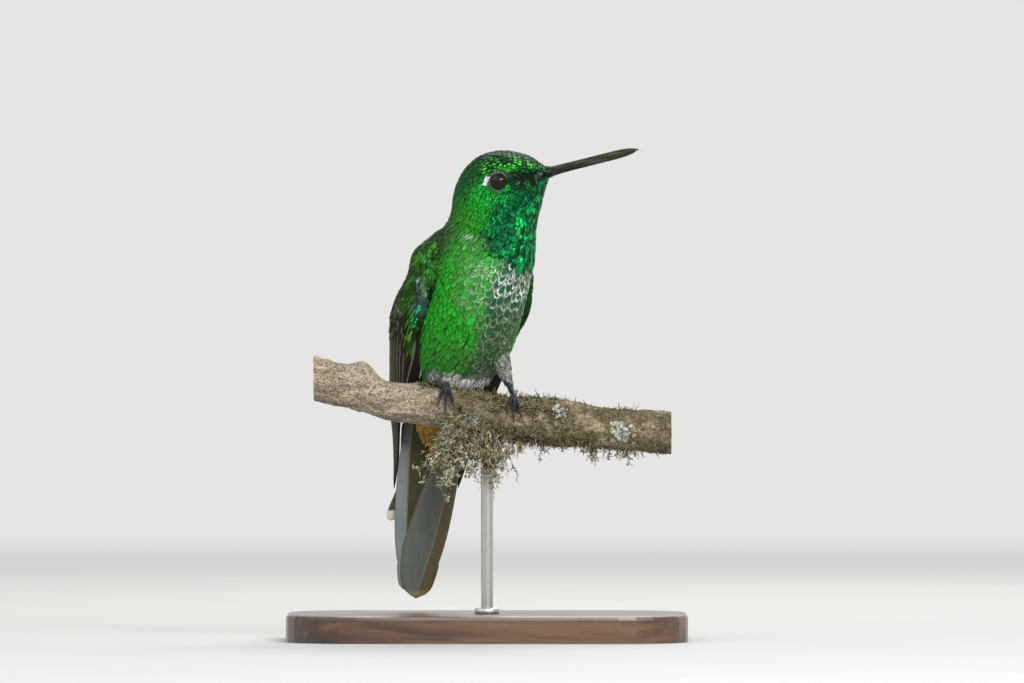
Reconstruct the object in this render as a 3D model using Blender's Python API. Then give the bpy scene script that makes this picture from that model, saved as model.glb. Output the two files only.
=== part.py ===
"""A male rufous-vented whitetip hummingbird, life size, perched on a cut branch over a display stand.

Blender 4.5. Metres, +Z up. The origin is the centre of the stand's underside. The branch runs along X.
The bird's pelvis faces -Y, its breast is turned halfway to +X, and its bill points along +X.
"""

import math
from typing import NamedTuple

import bmesh
import bpy
from mathutils import Matrix, Vector

MM = 0.001
GAP = 0.3 * MM  # clearance between neighbouring solids
UP = Vector((0.0, 0.0, 1.0))

# ---- Stand and perch ----
BASE_LENGTH, BASE_DEPTH, BASE_HEIGHT = 74 * MM, 48 * MM, 5 * MM
BASE_CORNER, BASE_BEVEL = 13 * MM, 0.7 * MM
ROD_RADIUS = 1.1 * MM
PERCH_Y = -4.5 * MM
PERCH_START, PERCH_END = -32 * MM, 34 * MM
PERCH_HEIGHTS = (48.7, 44.8, 41.6, 39.9, 38.2)  # millimetres, evenly spaced along the branch
PERCH_SIDES, PERCH_RINGS = 14, 27
KNOB_X, KNOB_HEIGHT, KNOB_SPREAD = -22.6 * MM, 1.7 * MM, 1.5 * MM

# ---- Bird ----
HEAD_YAW, TAIL_YAW = 82.0, 18.0  # degrees from -Y towards +X
NECK = Vector((0.2, -3.5, 0.0)) * MM  # the upright axis that the head turns on
BODY_SIDES = 24
FULLNESS = 2.15  # superellipse exponent of the body's sections; 2 is an ellipse

EYE_RADIUS = 1.95 * MM
EYE_FORWARD, EYE_SIDE, EYE_HEIGHT = 2.75 * MM, 4.75 * MM, 84.75 * MM

BILL_ROOT_FORWARD, BILL_ROOT_HEIGHT = 11.35 * MM, 86.55 * MM
BILL_LENGTH, BILL_PITCH = 17.2 * MM, 13.9
MOUTH_GAP = 0.1 * MM


class Station(NamedTuple):
    """One cross-section of the body. Lengths in millimetres, angles in degrees."""

    name: str
    x: float
    y: float
    z: float
    yaw: float  # where the section's front faces, from -Y towards +X
    tilt: float  # how far that front points down
    back: float
    front: float
    side: float


STATIONS = (
    Station("bill base", 11.1, -5.00, 86.50, 82, 76, 1.15, 1.15, 1.3),
    Station("lores", 10.2, -4.90, 86.25, 82, 73, 2.3, 2.3, 2.60),
    Station("brow", 9.1, -4.75, 86.15, 82, 68, 3.7, 3.7, 3.90),
    Station("forehead", 7.8, -4.55, 85.95, 82, 61, 4.95, 4.95, 4.90),
    Station("crown", 6.2, -4.30, 85.50, 82, 53, 6.3, 6.3, 5.60),
    Station("hind crown", 4.3, -4.10, 84.35, 82, 45, 7.6, 7.5, 6.00),
    Station("occiput", 2.6, -3.85, 82.20, 81, 36, 8.4, 8.2, 6.20),
    Station("hind head", 1.5, -3.70, 79.30, 79, 27, 8.5, 8.4, 6.40),
    Station("nape", 1.0, -3.70, 75.90, 74, 19, 8.3, 8.4, 6.80),
    Station("neck base", 0.4, -3.50, 72.00, 64, 15, 10.3, 8.5, 8.10),
    Station("shoulders", -1.1, -2.50, 67.00, 54, 19, 11.2, 8.7, 8.80),
    Station("breast", -2.6, -0.90, 61.80, 47, 22, 10.9, 8.9, 8.95),
    Station("belly", -3.9, 0.50, 56.50, 41, 23, 10.0, 8.6, 8.75),
    Station("lower belly", -5.6, 1.90, 51.60, 34, 22, 8.5, 7.3, 7.75),
    Station("vent", -7.1, 3.20, 47.50, 27, 20, 6.4, 5.3, 5.95),
    Station("rump", -8.3, 4.60, 43.60, 22, 15, 4.2, 3.2, 4.60),
    Station("tail root", -9.1, 5.40, 40.60, 19, 12, 2.1, 1.7, 3.90),
)
HEAD_END, NECK_END = 7.3, 9.4  # where the body is parted, in stations

BODY_COLOUR, GORGET_COLOUR, CROWN_COLOUR = (0.03, 0.29, 0.05), (0.01, 0.20, 0.08), (0.03, 0.14, 0.05)
WING_COLOUR, TAIL_COLOUR, RUFOUS = (0.04, 0.04, 0.03), (0.12, 0.14, 0.15), (0.30, 0.15, 0.05)
BILL_COLOUR, FOOT_COLOUR, EYE_COLOUR = (0.05, 0.05, 0.04), (0.04, 0.045, 0.05), (0.01, 0.008, 0.006)
THIGH_COLOUR, BARK_COLOUR, STEEL = (0.25, 0.27, 0.24), (0.36, 0.29, 0.21), (0.55, 0.54, 0.52)
WOOD_COLOUR = (0.10, 0.055, 0.03)


# ---- General helpers ----


def forward(yaw):
    """The level direction that a yaw in degrees faces."""
    return Vector((math.sin(math.radians(yaw)), -math.cos(math.radians(yaw)), 0.0))


def leftward(yaw):
    """The bird's left for that yaw."""
    return Vector((math.cos(math.radians(yaw)), math.sin(math.radians(yaw)), 0.0))


def spline(values, t):
    """A smooth curve through evenly spaced values, read at t from 0 to len(values) - 1."""
    last = len(values) - 1
    i = min(max(int(t), 0), last - 1)
    u = t - i
    a, b = values[i], values[i + 1]
    before = values[i - 1] if i > 0 else 2 * a - b
    after = values[i + 2] if i + 2 <= last else 2 * b - a
    slope_a, slope_b = (b - before) / 2, (after - a) / 2
    return (
        a * (2 * u**3 - 3 * u**2 + 1)
        + slope_a * (u**3 - 2 * u**2 + u)
        + b * (3 * u**2 - 2 * u**3)
        + slope_b * (u**3 - u**2)
    )


def rounded(value, exponent):
    """A sine or cosine bent into a superellipse's."""
    return math.copysign(abs(value) ** (2 / exponent), value)


def steps(start, end, count):
    return [start + (end - start) * i / (count - 1) for i in range(count)]


def clear_scene():
    for obj in list(bpy.data.objects):
        bpy.data.objects.remove(obj, do_unlink=True)


def material(name, colour, roughness=0.5, metallic=0.0):
    made = bpy.data.materials.new(name)
    made.use_nodes = True
    shader = made.node_tree.nodes["Principled BSDF"]
    shader.inputs["Base Color"].default_value = (*colour, 1.0)
    shader.inputs["Roughness"].default_value = roughness
    shader.inputs["Metallic"].default_value = metallic
    made.diffuse_color = (*colour, 1.0)
    return made


def finish_mesh(name, bm, look, crease=40.0):
    """Turns a bmesh into a linked object with outward faces."""
    bmesh.ops.recalc_face_normals(bm, faces=bm.faces)
    mesh = bpy.data.meshes.new(name)
    bm.to_mesh(mesh)
    bm.free()
    mesh.shade_smooth()
    mesh.set_sharp_from_angle(angle=math.radians(crease))
    if look is not None:
        mesh.materials.append(look)
    obj = bpy.data.objects.new(name, mesh)
    bpy.context.scene.collection.objects.link(obj)
    return obj


def loft(name, rings, look):
    """A closed solid through rings of the same number of points, its two ends capped."""
    bm = bmesh.new()
    rows = [[bm.verts.new(point) for point in ring] for ring in rings]
    count = len(rows[0])
    for near, far in zip(rows, rows[1:]):
        for k in range(count):
            bm.faces.new((near[k], near[(k + 1) % count], far[(k + 1) % count], far[k]))
    bm.faces.new(rows[0])
    bm.faces.new(list(reversed(rows[-1])))
    return finish_mesh(name, bm, look)


def hide_helper(obj):
    obj.hide_render = True
    obj.display_type = "WIRE"
    return obj


def combine(obj, other, operation):
    """A Boolean between two objects, kept as a modifier, with the second hidden as a helper."""
    modifier = obj.modifiers.new(f"{operation.lower()} {other.name}", "BOOLEAN")
    modifier.operation = operation
    modifier.solver = "EXACT"
    modifier.object = hide_helper(other)


def tube(name, points, radii, look, sides=8):
    """A solid of round sections along a path; a radius per point."""
    rings = []
    side = None
    for i, point in enumerate(points):
        along = (points[min(i + 1, len(points) - 1)] - points[max(i - 1, 0)]).normalized()
        if side is None:
            side = along.cross(UP if abs(along.z) < 0.9 else Vector((1, 0, 0)))
        side = (side - along * side.dot(along)).normalized()
        across = along.cross(side)
        turns = [2 * math.pi * k / sides for k in range(sides)]
        rings.append([point + (side * math.cos(a) + across * math.sin(a)) * radii[i] for a in turns])
    return loft(name, rings, look)


# ---- Stand and perch ----


def perch_section(x):
    """(centre height, radius) of the branch at x: it drops and straightens towards +X."""
    share = (x - PERCH_START) / (PERCH_END - PERCH_START)
    height = spline(PERCH_HEIGHTS, share * (len(PERCH_HEIGHTS) - 1))
    radius = 3.85 + 0.2 * math.cos(9 * share + 0.4) + 0.12 * math.sin(21 * share)
    return height * MM, radius * MM


def perch_y(x):
    return PERCH_Y + 0.5 * MM * math.sin(x / (11 * MM))


def perch_point(x, angle, lift=0.0):
    """A point on the branch's bark, angle in degrees from its top towards -Y, lifted off it by lift."""
    height, radius = perch_section(x)
    turn = math.radians(angle)
    knob = KNOB_HEIGHT * math.exp(-((x - KNOB_X) ** 2) / (2 * KNOB_SPREAD**2)) * max(0.0, math.cos(turn)) ** 4
    ripple = 1 + 0.035 * math.sin(3 * turn + x / (4 * MM)) + 0.02 * math.sin(5 * turn - x / (3 * MM))
    reach = radius * ripple + knob + lift
    return Vector((x, perch_y(x) - reach * math.sin(turn), height + reach * math.cos(turn)))


def build_perch(look):
    turns = [360 * k / PERCH_SIDES for k in range(PERCH_SIDES)]
    rings = [[perch_point(x, a) for a in turns] for x in steps(PERCH_START, PERCH_END, PERCH_RINGS)]
    loft("perch", rings, look)


def build_stand(wood, steel):
    """A flat base with rounded corners, and one rod from its top to the branch's underside."""
    bm = bmesh.new()
    corner_steps = 6
    outline = []
    for quarter in range(4):
        sign_x = 1 if quarter in (0, 3) else -1
        sign_y = 1 if quarter < 2 else -1
        centre = Vector((sign_x * (BASE_LENGTH / 2 - BASE_CORNER), sign_y * (BASE_DEPTH / 2 - BASE_CORNER), 0))
        for k in range(corner_steps + 1):
            turn = math.pi / 2 * (quarter + k / corner_steps)
            outline.append(centre + BASE_CORNER * Vector((math.cos(turn), math.sin(turn), 0)))
    floor = bm.faces.new([bm.verts.new(point) for point in outline])
    raised = bmesh.ops.extrude_face_region(bm, geom=[floor])
    top = [g for g in raised["geom"] if isinstance(g, bmesh.types.BMVert)]
    bmesh.ops.translate(bm, verts=top, vec=(0, 0, BASE_HEIGHT))
    rim = [e for e in bm.edges if all(v in top for v in e.verts)]
    bmesh.ops.bevel(bm, geom=rim, offset=BASE_BEVEL, segments=2, affect="EDGES", profile=0.6)
    finish_mesh("stand_base", bm, wood, crease=50)

    height, radius = perch_section(0.0)
    bottom, top_z = BASE_HEIGHT + GAP, height - radius * 1.06 - GAP
    foot = Vector((0, perch_y(0.0), bottom))
    head = Vector((0, perch_y(0.0), top_z))
    tube("stand_rod", [foot, head], [ROD_RADIUS] * 2, steel, sides=16)


# ---- Body ----


def body_section(t):
    """The section at t, counted in stations from the bill base."""
    numbers = [spline([getattr(s, field) for s in STATIONS], t) for field in Station._fields[1:]]
    return Station("between", *numbers)


def body_axes(section):
    """(centre, front, left, tailward) of a section, the last three as unit vectors."""
    tilt = math.radians(section.tilt)
    front = forward(section.yaw) * math.cos(tilt) - UP * math.sin(tilt)
    left = leftward(section.yaw)
    return Vector((section.x, section.y, section.z)) * MM, front, left, left.cross(front)


def body_ring(t, shift=0.0, swell=0.0, sides=BODY_SIDES):
    """Points round the body at t, from the back over the bird's left, moved tailward by shift."""
    section = body_section(t)
    centre, front, left, tailward = body_axes(section)
    ring = []
    for k in range(sides):
        turn = 2 * math.pi * k / sides
        depth = rounded(math.cos(turn), FULLNESS)
        reach = (section.back if depth > 0 else section.front) * MM + swell
        width = section.side * MM + swell
        offset = left * width * rounded(math.sin(turn), FULLNESS) - front * reach * depth
        ring.append(centre + offset + tailward * shift)
    return ring


def body_length(name, start, end, count, look, swell=0.0):
    """The stretch of the body from start to end, with half a gap left at each cut."""
    last = len(STATIONS) - 1
    rings = []
    for i, t in enumerate(steps(start, end, count)):
        shift = GAP / 2 if i == 0 and start > 0 else 0.0
        shift -= GAP / 2 if i == count - 1 and end < last else 0.0
        rings.append(body_ring(t, shift, swell))
    return loft(name, rings, look)


def head_point(ahead, left, height):
    """A point in the head's own frame, in the row frame."""
    return NECK + forward(HEAD_YAW) * ahead + leftward(HEAD_YAW) * left + UP * height


def ball(name, centre, radius, look, segments=20, rings=12):
    bm = bmesh.new()
    place = Matrix.Translation(centre) @ Matrix.Rotation(math.pi / 2, 4, "X")
    bmesh.ops.create_uvsphere(bm, u_segments=segments, v_segments=rings, radius=radius, matrix=place)
    return finish_mesh(name, bm, look)


def build_head_and_trunk(looks):
    """Head with eye sockets, neck and trunk, parted by thin cuts, and the two eyes."""
    head = body_length("head", 0.0, HEAD_END, 17, looks["crown"])
    body_length("neck", HEAD_END, NECK_END, 5, looks["gorget"])
    body_length("trunk", NECK_END, len(STATIONS) - 1, 17, looks["body"])
    for side, sign in (("left", 1), ("right", -1)):
        centre = head_point(EYE_FORWARD, sign * EYE_SIDE, EYE_HEIGHT)
        socket = ball(f"socket_{side}", centre, EYE_RADIUS + GAP, None)
        combine(head, socket, "DIFFERENCE")
        ball(f"eye_{side}", centre, EYE_RADIUS, looks["eye"])


# ---- Bill ----


def mandible_ring(root, along, up, left, width, height, count=7):
    """Half an ellipse on a flat: the arc bulges along up, and the flat lies in the mouth's plane."""
    arc = []
    for k in range(count):
        turn = math.pi * k / (count - 1)
        arc.append(root + along + left * width * math.cos(turn) + up * height * math.sin(turn))
    return arc


def build_bill(look):
    """Upper and lower mandibles, meeting along a straight mouth line, the lower a little shorter."""
    pitch = math.radians(BILL_PITCH)
    ahead = forward(HEAD_YAW) * math.cos(pitch) + UP * math.sin(pitch)
    left = leftward(HEAD_YAW)
    up = ahead.cross(left) * -1 if ahead.cross(left).z < 0 else ahead.cross(left)
    root = head_point(BILL_ROOT_FORWARD, 0.0, BILL_ROOT_HEIGHT)
    halves = (
        # name, direction, length, height at the root and along the shaft
        ("bill_upper", up, BILL_LENGTH, 1.05 * MM, 0.88 * MM),
        ("bill_lower", -up, BILL_LENGTH - 0.5 * MM, 1.05 * MM, 0.72 * MM),
    )
    for name, outward, length, root_height, shaft_height in halves:
        rings = []
        for share in (0.0, 0.06, 0.14, 0.26, 0.42, 0.6, 0.76, 0.87, 0.94, 0.98, 1.0):
            flare = math.exp(-share / 0.07)
            tip = math.sqrt(max(0.0, 1 - max(0.0, (share - 0.72) / 0.28) ** 2.2))
            height = (shaft_height + (root_height - shaft_height) * flare) * max(tip, 0.28)
            width = (0.78 + 0.42 * flare) * MM * max(tip, 0.3)
            start = root + outward * MOUTH_GAP / 2
            rings.append(mandible_ring(start, ahead * length * share, outward, left, width, height))
        loft(name, rings, look)


# ---- Wings ----

WING_YAW = 32.5  # degrees, as for the body's sections

# The folded wing's section by height, in millimetres forward of and out from the trunk's axis: its
# leading edge, the crest where it stands farthest out, and its trailing edge over the back.
WING_SECTIONS = (
    # z, lead forward, lead out, crest forward, crest out, trail forward, trail out
    (75.2, -3.2, 8.0, -5.5, 8.5, -8.6, 6.3),
    (72.0, -1.8, 9.9, -7.2, 11.0, -11.2, 6.5),
    (67.5, 1.0, 10.9, -7.1, 10.9, -13.0, 4.6),
    (63.0, 1.2, 11.1, -7.5, 11.9, -13.5, 3.7),
    (58.0, 0.7, 11.0, -7.4, 12.1, -13.0, 3.6),
    (53.0, 0.5, 10.7, -6.0, 11.2, -10.6, 5.6),
    (47.0, 1.0, 9.7, -2.9, 10.2, -6.6, 8.2),
    (40.0, 0.4, 8.5, -1.6, 8.7, -4.0, 7.6),
    (33.5, 0.0, 7.5, -1.2, 7.7, -2.4, 7.0),
    (28.0, -1.0, 6.8, -1.3, 6.9, -1.7, 6.6),
)
# How far each wing is carried towards +Y at those heights, so that it passes the branch and lies over
# the tail; and how far the right one's leading edge is tucked in against the flank.
WING_SHIFT = {1: (0, 0, 0, 0, 0, 0, 0, 0.6, 1.8, 2.0), -1: (0, 0, 0, 0.2, 1.5, 2.7, 3.7, 4.0, 6.0, 5.6)}
PULL_IN = {1: 0.9, -1: 1.0}  # how close the crest and the trailing edge are drawn to the trunk's axis
LEAD_TUCK = {1: (0,) * 10, -1: (0, 1.2, 2.2, 2.6, 1.8, 0.6, 0, 0, 0, 0)}
COVERT_END, SECONDARY_END = 61.5, 56.0  # heights in millimetres
PRIMARY_SHARE = 0.62  # how much of the chord the primaries take where they leave the coverts


def trunk_axis(height):
    """The body axis's point at a height in millimetres, carried on down past the tail root."""
    lowest = STATIONS[-1]
    if height < lowest.z:
        drop = lowest.z - height
        return Vector((lowest.x - 0.13 * drop, lowest.y + 0.22 * drop, height)) * MM
    low, high = 7.0, float(len(STATIONS) - 1)
    for _ in range(30):
        middle = (low + high) / 2
        low, high = (middle, high) if body_section(middle).z > height else (low, middle)
    section = body_section(low)
    return Vector((section.x, section.y, height)) * MM


def wing_landmark(height, sign, column):
    """The leading edge (column 1), crest (3) or trailing edge (5) of the wing at a height in millimetres."""
    heights = [row[0] for row in WING_SECTIONS]
    i = max(k for k in range(len(heights) - 1) if heights[k] >= height or k == 0)
    t = i + (heights[i] - height) / (heights[i] - heights[i + 1])
    ahead = spline([row[column] for row in WING_SECTIONS], t) * MM
    out = spline([row[column + 1] for row in WING_SECTIONS], t) * MM
    if column > 1 and height > 40:
        ahead, out = ahead * PULL_IN[sign], out * PULL_IN[sign]
    point = trunk_axis(height) + forward(WING_YAW) * ahead + leftward(WING_YAW) * sign * out
    point.y += spline(WING_SHIFT[sign], t) * MM
    if column == 1:
        point.y += spline(LEAD_TUCK[sign], t) * MM
    return point


def wing_ring(height, sign, thickness, start=0.0, end=1.0, across=9):
    """A thin curved section of the wing between two shares of its chord."""
    lead, crest, trail = (wing_landmark(height, sign, column) for column in (1, 3, 5))
    outer, inner = [], []
    for i, share in enumerate(steps(start, end, across)):
        middle = (
            lead * (2 * share - 1) * (share - 1) + crest * 4 * share * (1 - share) + trail * share * (2 * share - 1)
        )
        along = lead * (4 * share - 3) + crest * (4 - 8 * share) + trail * (4 * share - 1)
        outward = along.cross(UP).normalized() * -sign
        edge = math.sin(math.pi * (0.12 + 0.76 * i / (across - 1)))
        outer.append(middle + outward * thickness / 2 * edge)
        inner.append(middle - outward * thickness / 2 * edge)
    return outer + inner[::-1]


def build_wing(side, sign, looks):
    """Covert-clad arm, secondaries and primaries of one folded wing."""
    top = WING_SECTIONS[0][0]
    arm = []
    for share in steps(0.0, 1.0, 9):
        height = top + (COVERT_END + 0.15 - top) * share
        thickness = (0.9 + 1.5 * math.sin(math.pi * min(1.0, 0.22 + 0.62 * share))) * MM
        arm.append(wing_ring(height, sign, thickness))
    coverts = loft(f"wing_{side}_coverts", arm, looks["coverts"])
    inflated = body_length(f"trunk_clearance_{side}", 8.0, 14.0, 13, None, swell=GAP)
    combine(coverts, inflated, "DIFFERENCE")

    tip = WING_SECTIONS[-1][0]
    blade = []
    for share in steps(0.0, 1.0, 13):
        height = COVERT_END - 0.15 + (tip - COVERT_END) * share
        open_to = PRIMARY_SHARE + (1 - PRIMARY_SHARE) * max(0.0, min(1.0, (share - 0.17) / 0.15))
        thickness = (1.05 - 0.5 * share) * MM
        blade.append(wing_ring(height, sign, thickness, 0.0, open_to))
    primaries = loft(f"wing_{side}_primaries", blade, looks["wing"])
    combine(primaries, inflated, "DIFFERENCE")

    inner = []
    for share in steps(0.0, 1.0, 5):
        height = COVERT_END - 0.15 + (SECONDARY_END - COVERT_END) * share
        start = PRIMARY_SHARE + 0.035 + 0.05 * share
        inner.append(wing_ring(height, sign, 0.8 * MM, start, 1.0, across=4))
    loft(f"wing_{side}_secondaries", inner, looks["wing"])


# ---- Tail ----

TAIL_TOP, TAIL_TIP, FORK_END = 39.8, 7.5, 22.0  # heights of the root, the outer tips and the inner tips
TAIL_LAYER = 0.6 * MM
INNER_SPREAD = {"left": 1.4 * MM, "right": 2.5 * MM}  # how far the inner feathers fan out at their tips
TAIL_HALF_WIDTHS = (4.5, 5.8, 6.0, 5.9, 5.7, 5.4, 4.9, 4.1, 3.0, 0.9)  # from TAIL_TOP to TAIL_TIP


def tail_axis(height):
    """The middle of the tail's hindmost (lowest in the stack) layer at a height in millimetres."""
    drop = 42.0 - height
    return Vector((-9.0 - 0.13 * drop, 6.6 + 0.175 * drop, height)) * MM


def tail_half_width(height):
    share = (TAIL_TOP - height) / (TAIL_TOP - TAIL_TIP)
    return spline(TAIL_HALF_WIDTHS, share * (len(TAIL_HALF_WIDTHS) - 1)) * MM


def tail_point(height, side, layer):
    """A point in the tail: side is metres to the bird's left, layer counts from the underside up."""
    front = forward(TAIL_YAW)
    roof = 0.05 * side * side / MM
    return tail_axis(height) + leftward(TAIL_YAW) * side - front * (layer * (TAIL_LAYER + GAP) + roof)


def tail_plate(name, heights, edges, layer, look, across=5):
    """One layer of tail feathers; edges(height) gives its right and left edge."""
    rings = []
    for height in heights:
        right, left = edges(height)
        sides = steps(right, left, across)
        under = [tail_point(height, s, layer - 0.5 * TAIL_LAYER / (TAIL_LAYER + GAP)) for s in sides]
        over = [tail_point(height, s, layer + 0.5 * TAIL_LAYER / (TAIL_LAYER + GAP)) for s in sides]
        rings.append(under + over[::-1])
    loft(name, rings, look)


def outer_overlap(height):
    """Where the left outermost feather's inner edge crosses the tail."""
    drop = max(0.0, 34.0 - height)
    return -min(0.2 * drop, 0.86 * tail_half_width(height) / MM) * MM


def build_tail(looks):
    """Outermost, middle and inner tail feathers of each half, and the coverts over and under their roots."""
    tall = steps(TAIL_TOP, TAIL_TIP, 15)
    tail_plate(
        "tail_outer_left", tall, lambda z: (outer_overlap(z) + GAP / 2, tail_half_width(z)), 0, looks["tail"]
    )
    outer_right = [z for z in steps(TAIL_TOP, TAIL_TIP + 2.2, 13)]
    tail_plate(
        "tail_outer_right",
        outer_right,
        lambda z: (-tail_half_width(z), min(outer_overlap(z), 0.0) - GAP / 2),
        0,
        looks["tail"],
        across=4,
    )
    middle = steps(TAIL_TOP, 14.5, 9)
    for side, sign in (("left", 1), ("right", -1)):

        def middle_edges(z, sign=sign):
            outer = tail_half_width(z) * 0.93 * min(1.0, (z - 13.2) / 4.0) ** 0.5
            return sorted((sign * GAP / 2, sign * max(outer, 0.8 * MM)))

        tail_plate(f"tail_middle_{side}", middle, middle_edges, 1, looks["tail"], across=4)

        def inner_edges(z, sign=sign, side=side):
            share = (TAIL_TOP - z) / (TAIL_TOP - FORK_END)
            spread = INNER_SPREAD[side] * share**1.5
            start = GAP / 2 + (0.8 * MM + spread) * share**2
            end = 3.3 * MM + spread * 1.2
            return sorted((sign * start, sign * end))

        tail_plate(
            f"tail_inner_{side}", steps(TAIL_TOP, FORK_END, 8), inner_edges, 2, looks["tail"], across=4
        )


def build_tail_coverts(looks):
    """The rufous wedge under the tail's root and the green one over it."""
    front = forward(TAIL_YAW)
    wedges = (
        # name, colour, direction from the tail, length, depth, tail thickness that it clears
        ("undertail_coverts", "rufous", front, 8.6, 1.7, TAIL_LAYER / 2 + GAP),
        ("uppertail_coverts", "body", -front, 9.5, 1.5, 2.5 * TAIL_LAYER + 3 * GAP),
    )
    for name, look, outward, length, depth, clear in wedges:
        rings = []
        top = 39.9
        for share in steps(0.0, 1.0, 7):
            height = top - length * share
            taper = math.sqrt(max(0.0, 1 - share**2.4))
            width = 3.5 * MM * max(taper, 0.2)
            thick = depth * MM * max(taper, 0.3)
            axis = tail_axis(height) + outward * clear
            turns = [math.pi * k / 6 for k in range(7)]
            arc = [(width * math.cos(a), thick * math.sin(a)) for a in turns]
            flat = [(width * s, 0.0) for s in (-0.5, 0.0, 0.5)]
            ring = []
            for side, lift in arc + flat:
                roof = 0.05 * side * side / MM
                ring.append(axis + leftward(TAIL_YAW) * side + outward * lift - front * roof)
            rings.append(ring)
        loft(name, rings, looks[look])


# ---- Legs ----


class Leg(NamedTuple):
    """One leg on the branch. Lengths in millimetres, angles in degrees from the branch's top towards -Y."""

    hip: tuple
    ankle: tuple
    foot_x: float
    foot_angle: float
    hind_length: float  # degrees round the branch
    toes: tuple  # (sideways drift, length in degrees round the branch) of each front toe


LEGS = {
    "right": Leg((-9.0, -1.4, 52.0), (-10.2, -6.3, 48.0), -7.5, 38, 56, ((-1.9, 52), (-0.5, 68), (1.4, 58))),
    "left": Leg((1.2, -0.2, 55.2), (3.9, -4.6, 47.9), 5.1, 36, 80, ((-1.5, 50), (-0.2, 70), (1.3, 58))),
}
TOE_RADIUS = 0.4 * MM
SHANK_RADIUS = 0.5 * MM
THIGH_RADII = (2.3, 2.0, 1.6, 1.2, 0.85)


def toe_path(x, angle, drift, length, count=8):
    """Points over the bark from the foot round the branch, with the claw's hook at the end."""
    path = []
    for share in steps(0.0, 1.0, count):
        hump = 0.28 * MM * math.sin(math.pi * min(1.0, share * 1.15)) + 0.1 * MM
        here = x + drift * MM * share**0.8
        path.append(perch_point(here, angle + length * share, TOE_RADIUS + GAP + hump))
    return path


def toe_radii(count=8):
    """Thick along the toe, then tapering to the claw's point."""
    return [TOE_RADIUS * (1.0 if s < 0.55 else 1.0 - 1.35 * (s - 0.55)) for s in steps(0.0, 1.0, count)]


def build_leg(side, looks):
    """Feathered thigh, and a foot of shank and four toes as one solid."""
    leg = LEGS[side]
    hip, ankle = Vector(leg.hip) * MM, Vector(leg.ankle) * MM
    pad = perch_point(leg.foot_x * MM, leg.foot_angle, TOE_RADIUS * 1.5 + GAP)
    knee = ankle + (ankle - pad).normalized() * 0.2 * MM

    thigh_path = [hip.lerp(knee, share) for share in steps(0.0, 1.0, len(THIGH_RADII))]
    thigh = tube(f"thigh_{side}", thigh_path, [r * MM for r in THIGH_RADII], looks["thigh"], sides=12)
    inflated = body_length(f"trunk_clearance_thigh_{side}", 8.0, 16.0, 17, None, swell=GAP)
    combine(thigh, inflated, "DIFFERENCE")

    down = (pad - ankle).normalized()
    shank = [ankle + down * 0.45 * MM, ankle.lerp(pad, 0.6), pad, pad + down * 0.25 * MM]
    radii = [SHANK_RADIUS * s for s in (1.0, 0.95, 1.15, 0.9)]
    foot = tube(f"foot_{side}", shank, radii, looks["foot"], sides=8)
    for i, (drift, length) in enumerate(leg.toes):
        path = toe_path(leg.foot_x * MM, leg.foot_angle - 6, drift, length)
        toe = tube(f"front_toe_{side}_{i + 1}", path, toe_radii(), None, sides=7)
        combine(foot, toe, "UNION")
    hind = toe_path(leg.foot_x * MM, leg.foot_angle + 8, 0.3, -leg.hind_length)
    combine(foot, tube(f"hind_toe_{side}", hind, toe_radii(), None, sides=7), "UNION")


def main():
    clear_scene()
    looks = {
        "body": material("body_feathers", BODY_COLOUR, 0.38, 0.4),
        "gorget": material("gorget_feathers", GORGET_COLOUR, 0.3, 0.6),
        "crown": material("crown_feathers", CROWN_COLOUR, 0.35, 0.4),
        "coverts": material("covert_feathers", (0.03, 0.13, 0.02), 0.45, 0.3),
        "wing": material("flight_feathers", WING_COLOUR, 0.5, 0.0),
        "tail": material("tail_feathers", TAIL_COLOUR, 0.42, 0.1),
        "rufous": material("rufous_feathers", RUFOUS, 0.7, 0.0),
        "thigh": material("thigh_down", THIGH_COLOUR, 0.8, 0.0),
        "bill": material("bill_horn", BILL_COLOUR, 0.35, 0.0),
        "foot": material("foot_scales", FOOT_COLOUR, 0.4, 0.0),
        "eye": material("eye", EYE_COLOUR, 0.05, 0.0),
        "bark": material("bark", BARK_COLOUR, 0.85, 0.0),
        "wood": material("stand_wood", WOOD_COLOUR, 0.4, 0.0),
        "steel": material("stand_steel", STEEL, 0.3, 1.0),
    }
    build_stand(looks["wood"], looks["steel"])
    build_perch(looks["bark"])
    build_head_and_trunk(looks)
    build_bill(looks["bill"])
    for side, sign in (("left", 1), ("right", -1)):
        build_wing(side, sign, looks)
        build_leg(side, looks)
    build_tail(looks)
    build_tail_coverts(looks)


main()
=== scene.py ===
"""Looks of the perched rufous-vented whitetip: skin, feathers, eyes, bill, feet, mossy branch and stand.

All shapes are worked out in millimetres and written to meshes in metres.
"""

import math

import bpy
import numpy as np
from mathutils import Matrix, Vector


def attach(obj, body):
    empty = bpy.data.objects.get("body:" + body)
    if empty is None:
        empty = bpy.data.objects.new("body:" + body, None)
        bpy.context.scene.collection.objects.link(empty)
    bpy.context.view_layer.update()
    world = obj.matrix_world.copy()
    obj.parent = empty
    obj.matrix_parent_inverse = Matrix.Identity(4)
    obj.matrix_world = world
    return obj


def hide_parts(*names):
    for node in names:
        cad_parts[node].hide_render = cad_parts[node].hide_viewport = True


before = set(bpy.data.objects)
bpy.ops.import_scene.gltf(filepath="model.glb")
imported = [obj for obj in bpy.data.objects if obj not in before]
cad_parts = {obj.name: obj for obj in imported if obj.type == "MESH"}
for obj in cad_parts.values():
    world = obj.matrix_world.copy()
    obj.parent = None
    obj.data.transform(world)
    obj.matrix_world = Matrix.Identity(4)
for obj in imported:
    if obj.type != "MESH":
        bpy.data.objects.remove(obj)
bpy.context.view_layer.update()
MM = 0.001
RNG = np.random.default_rng(11)
UP = np.array((0.0, 0.0, 1.0))

# ---------------------------------------------------------------- the solids' own shape functions

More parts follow.
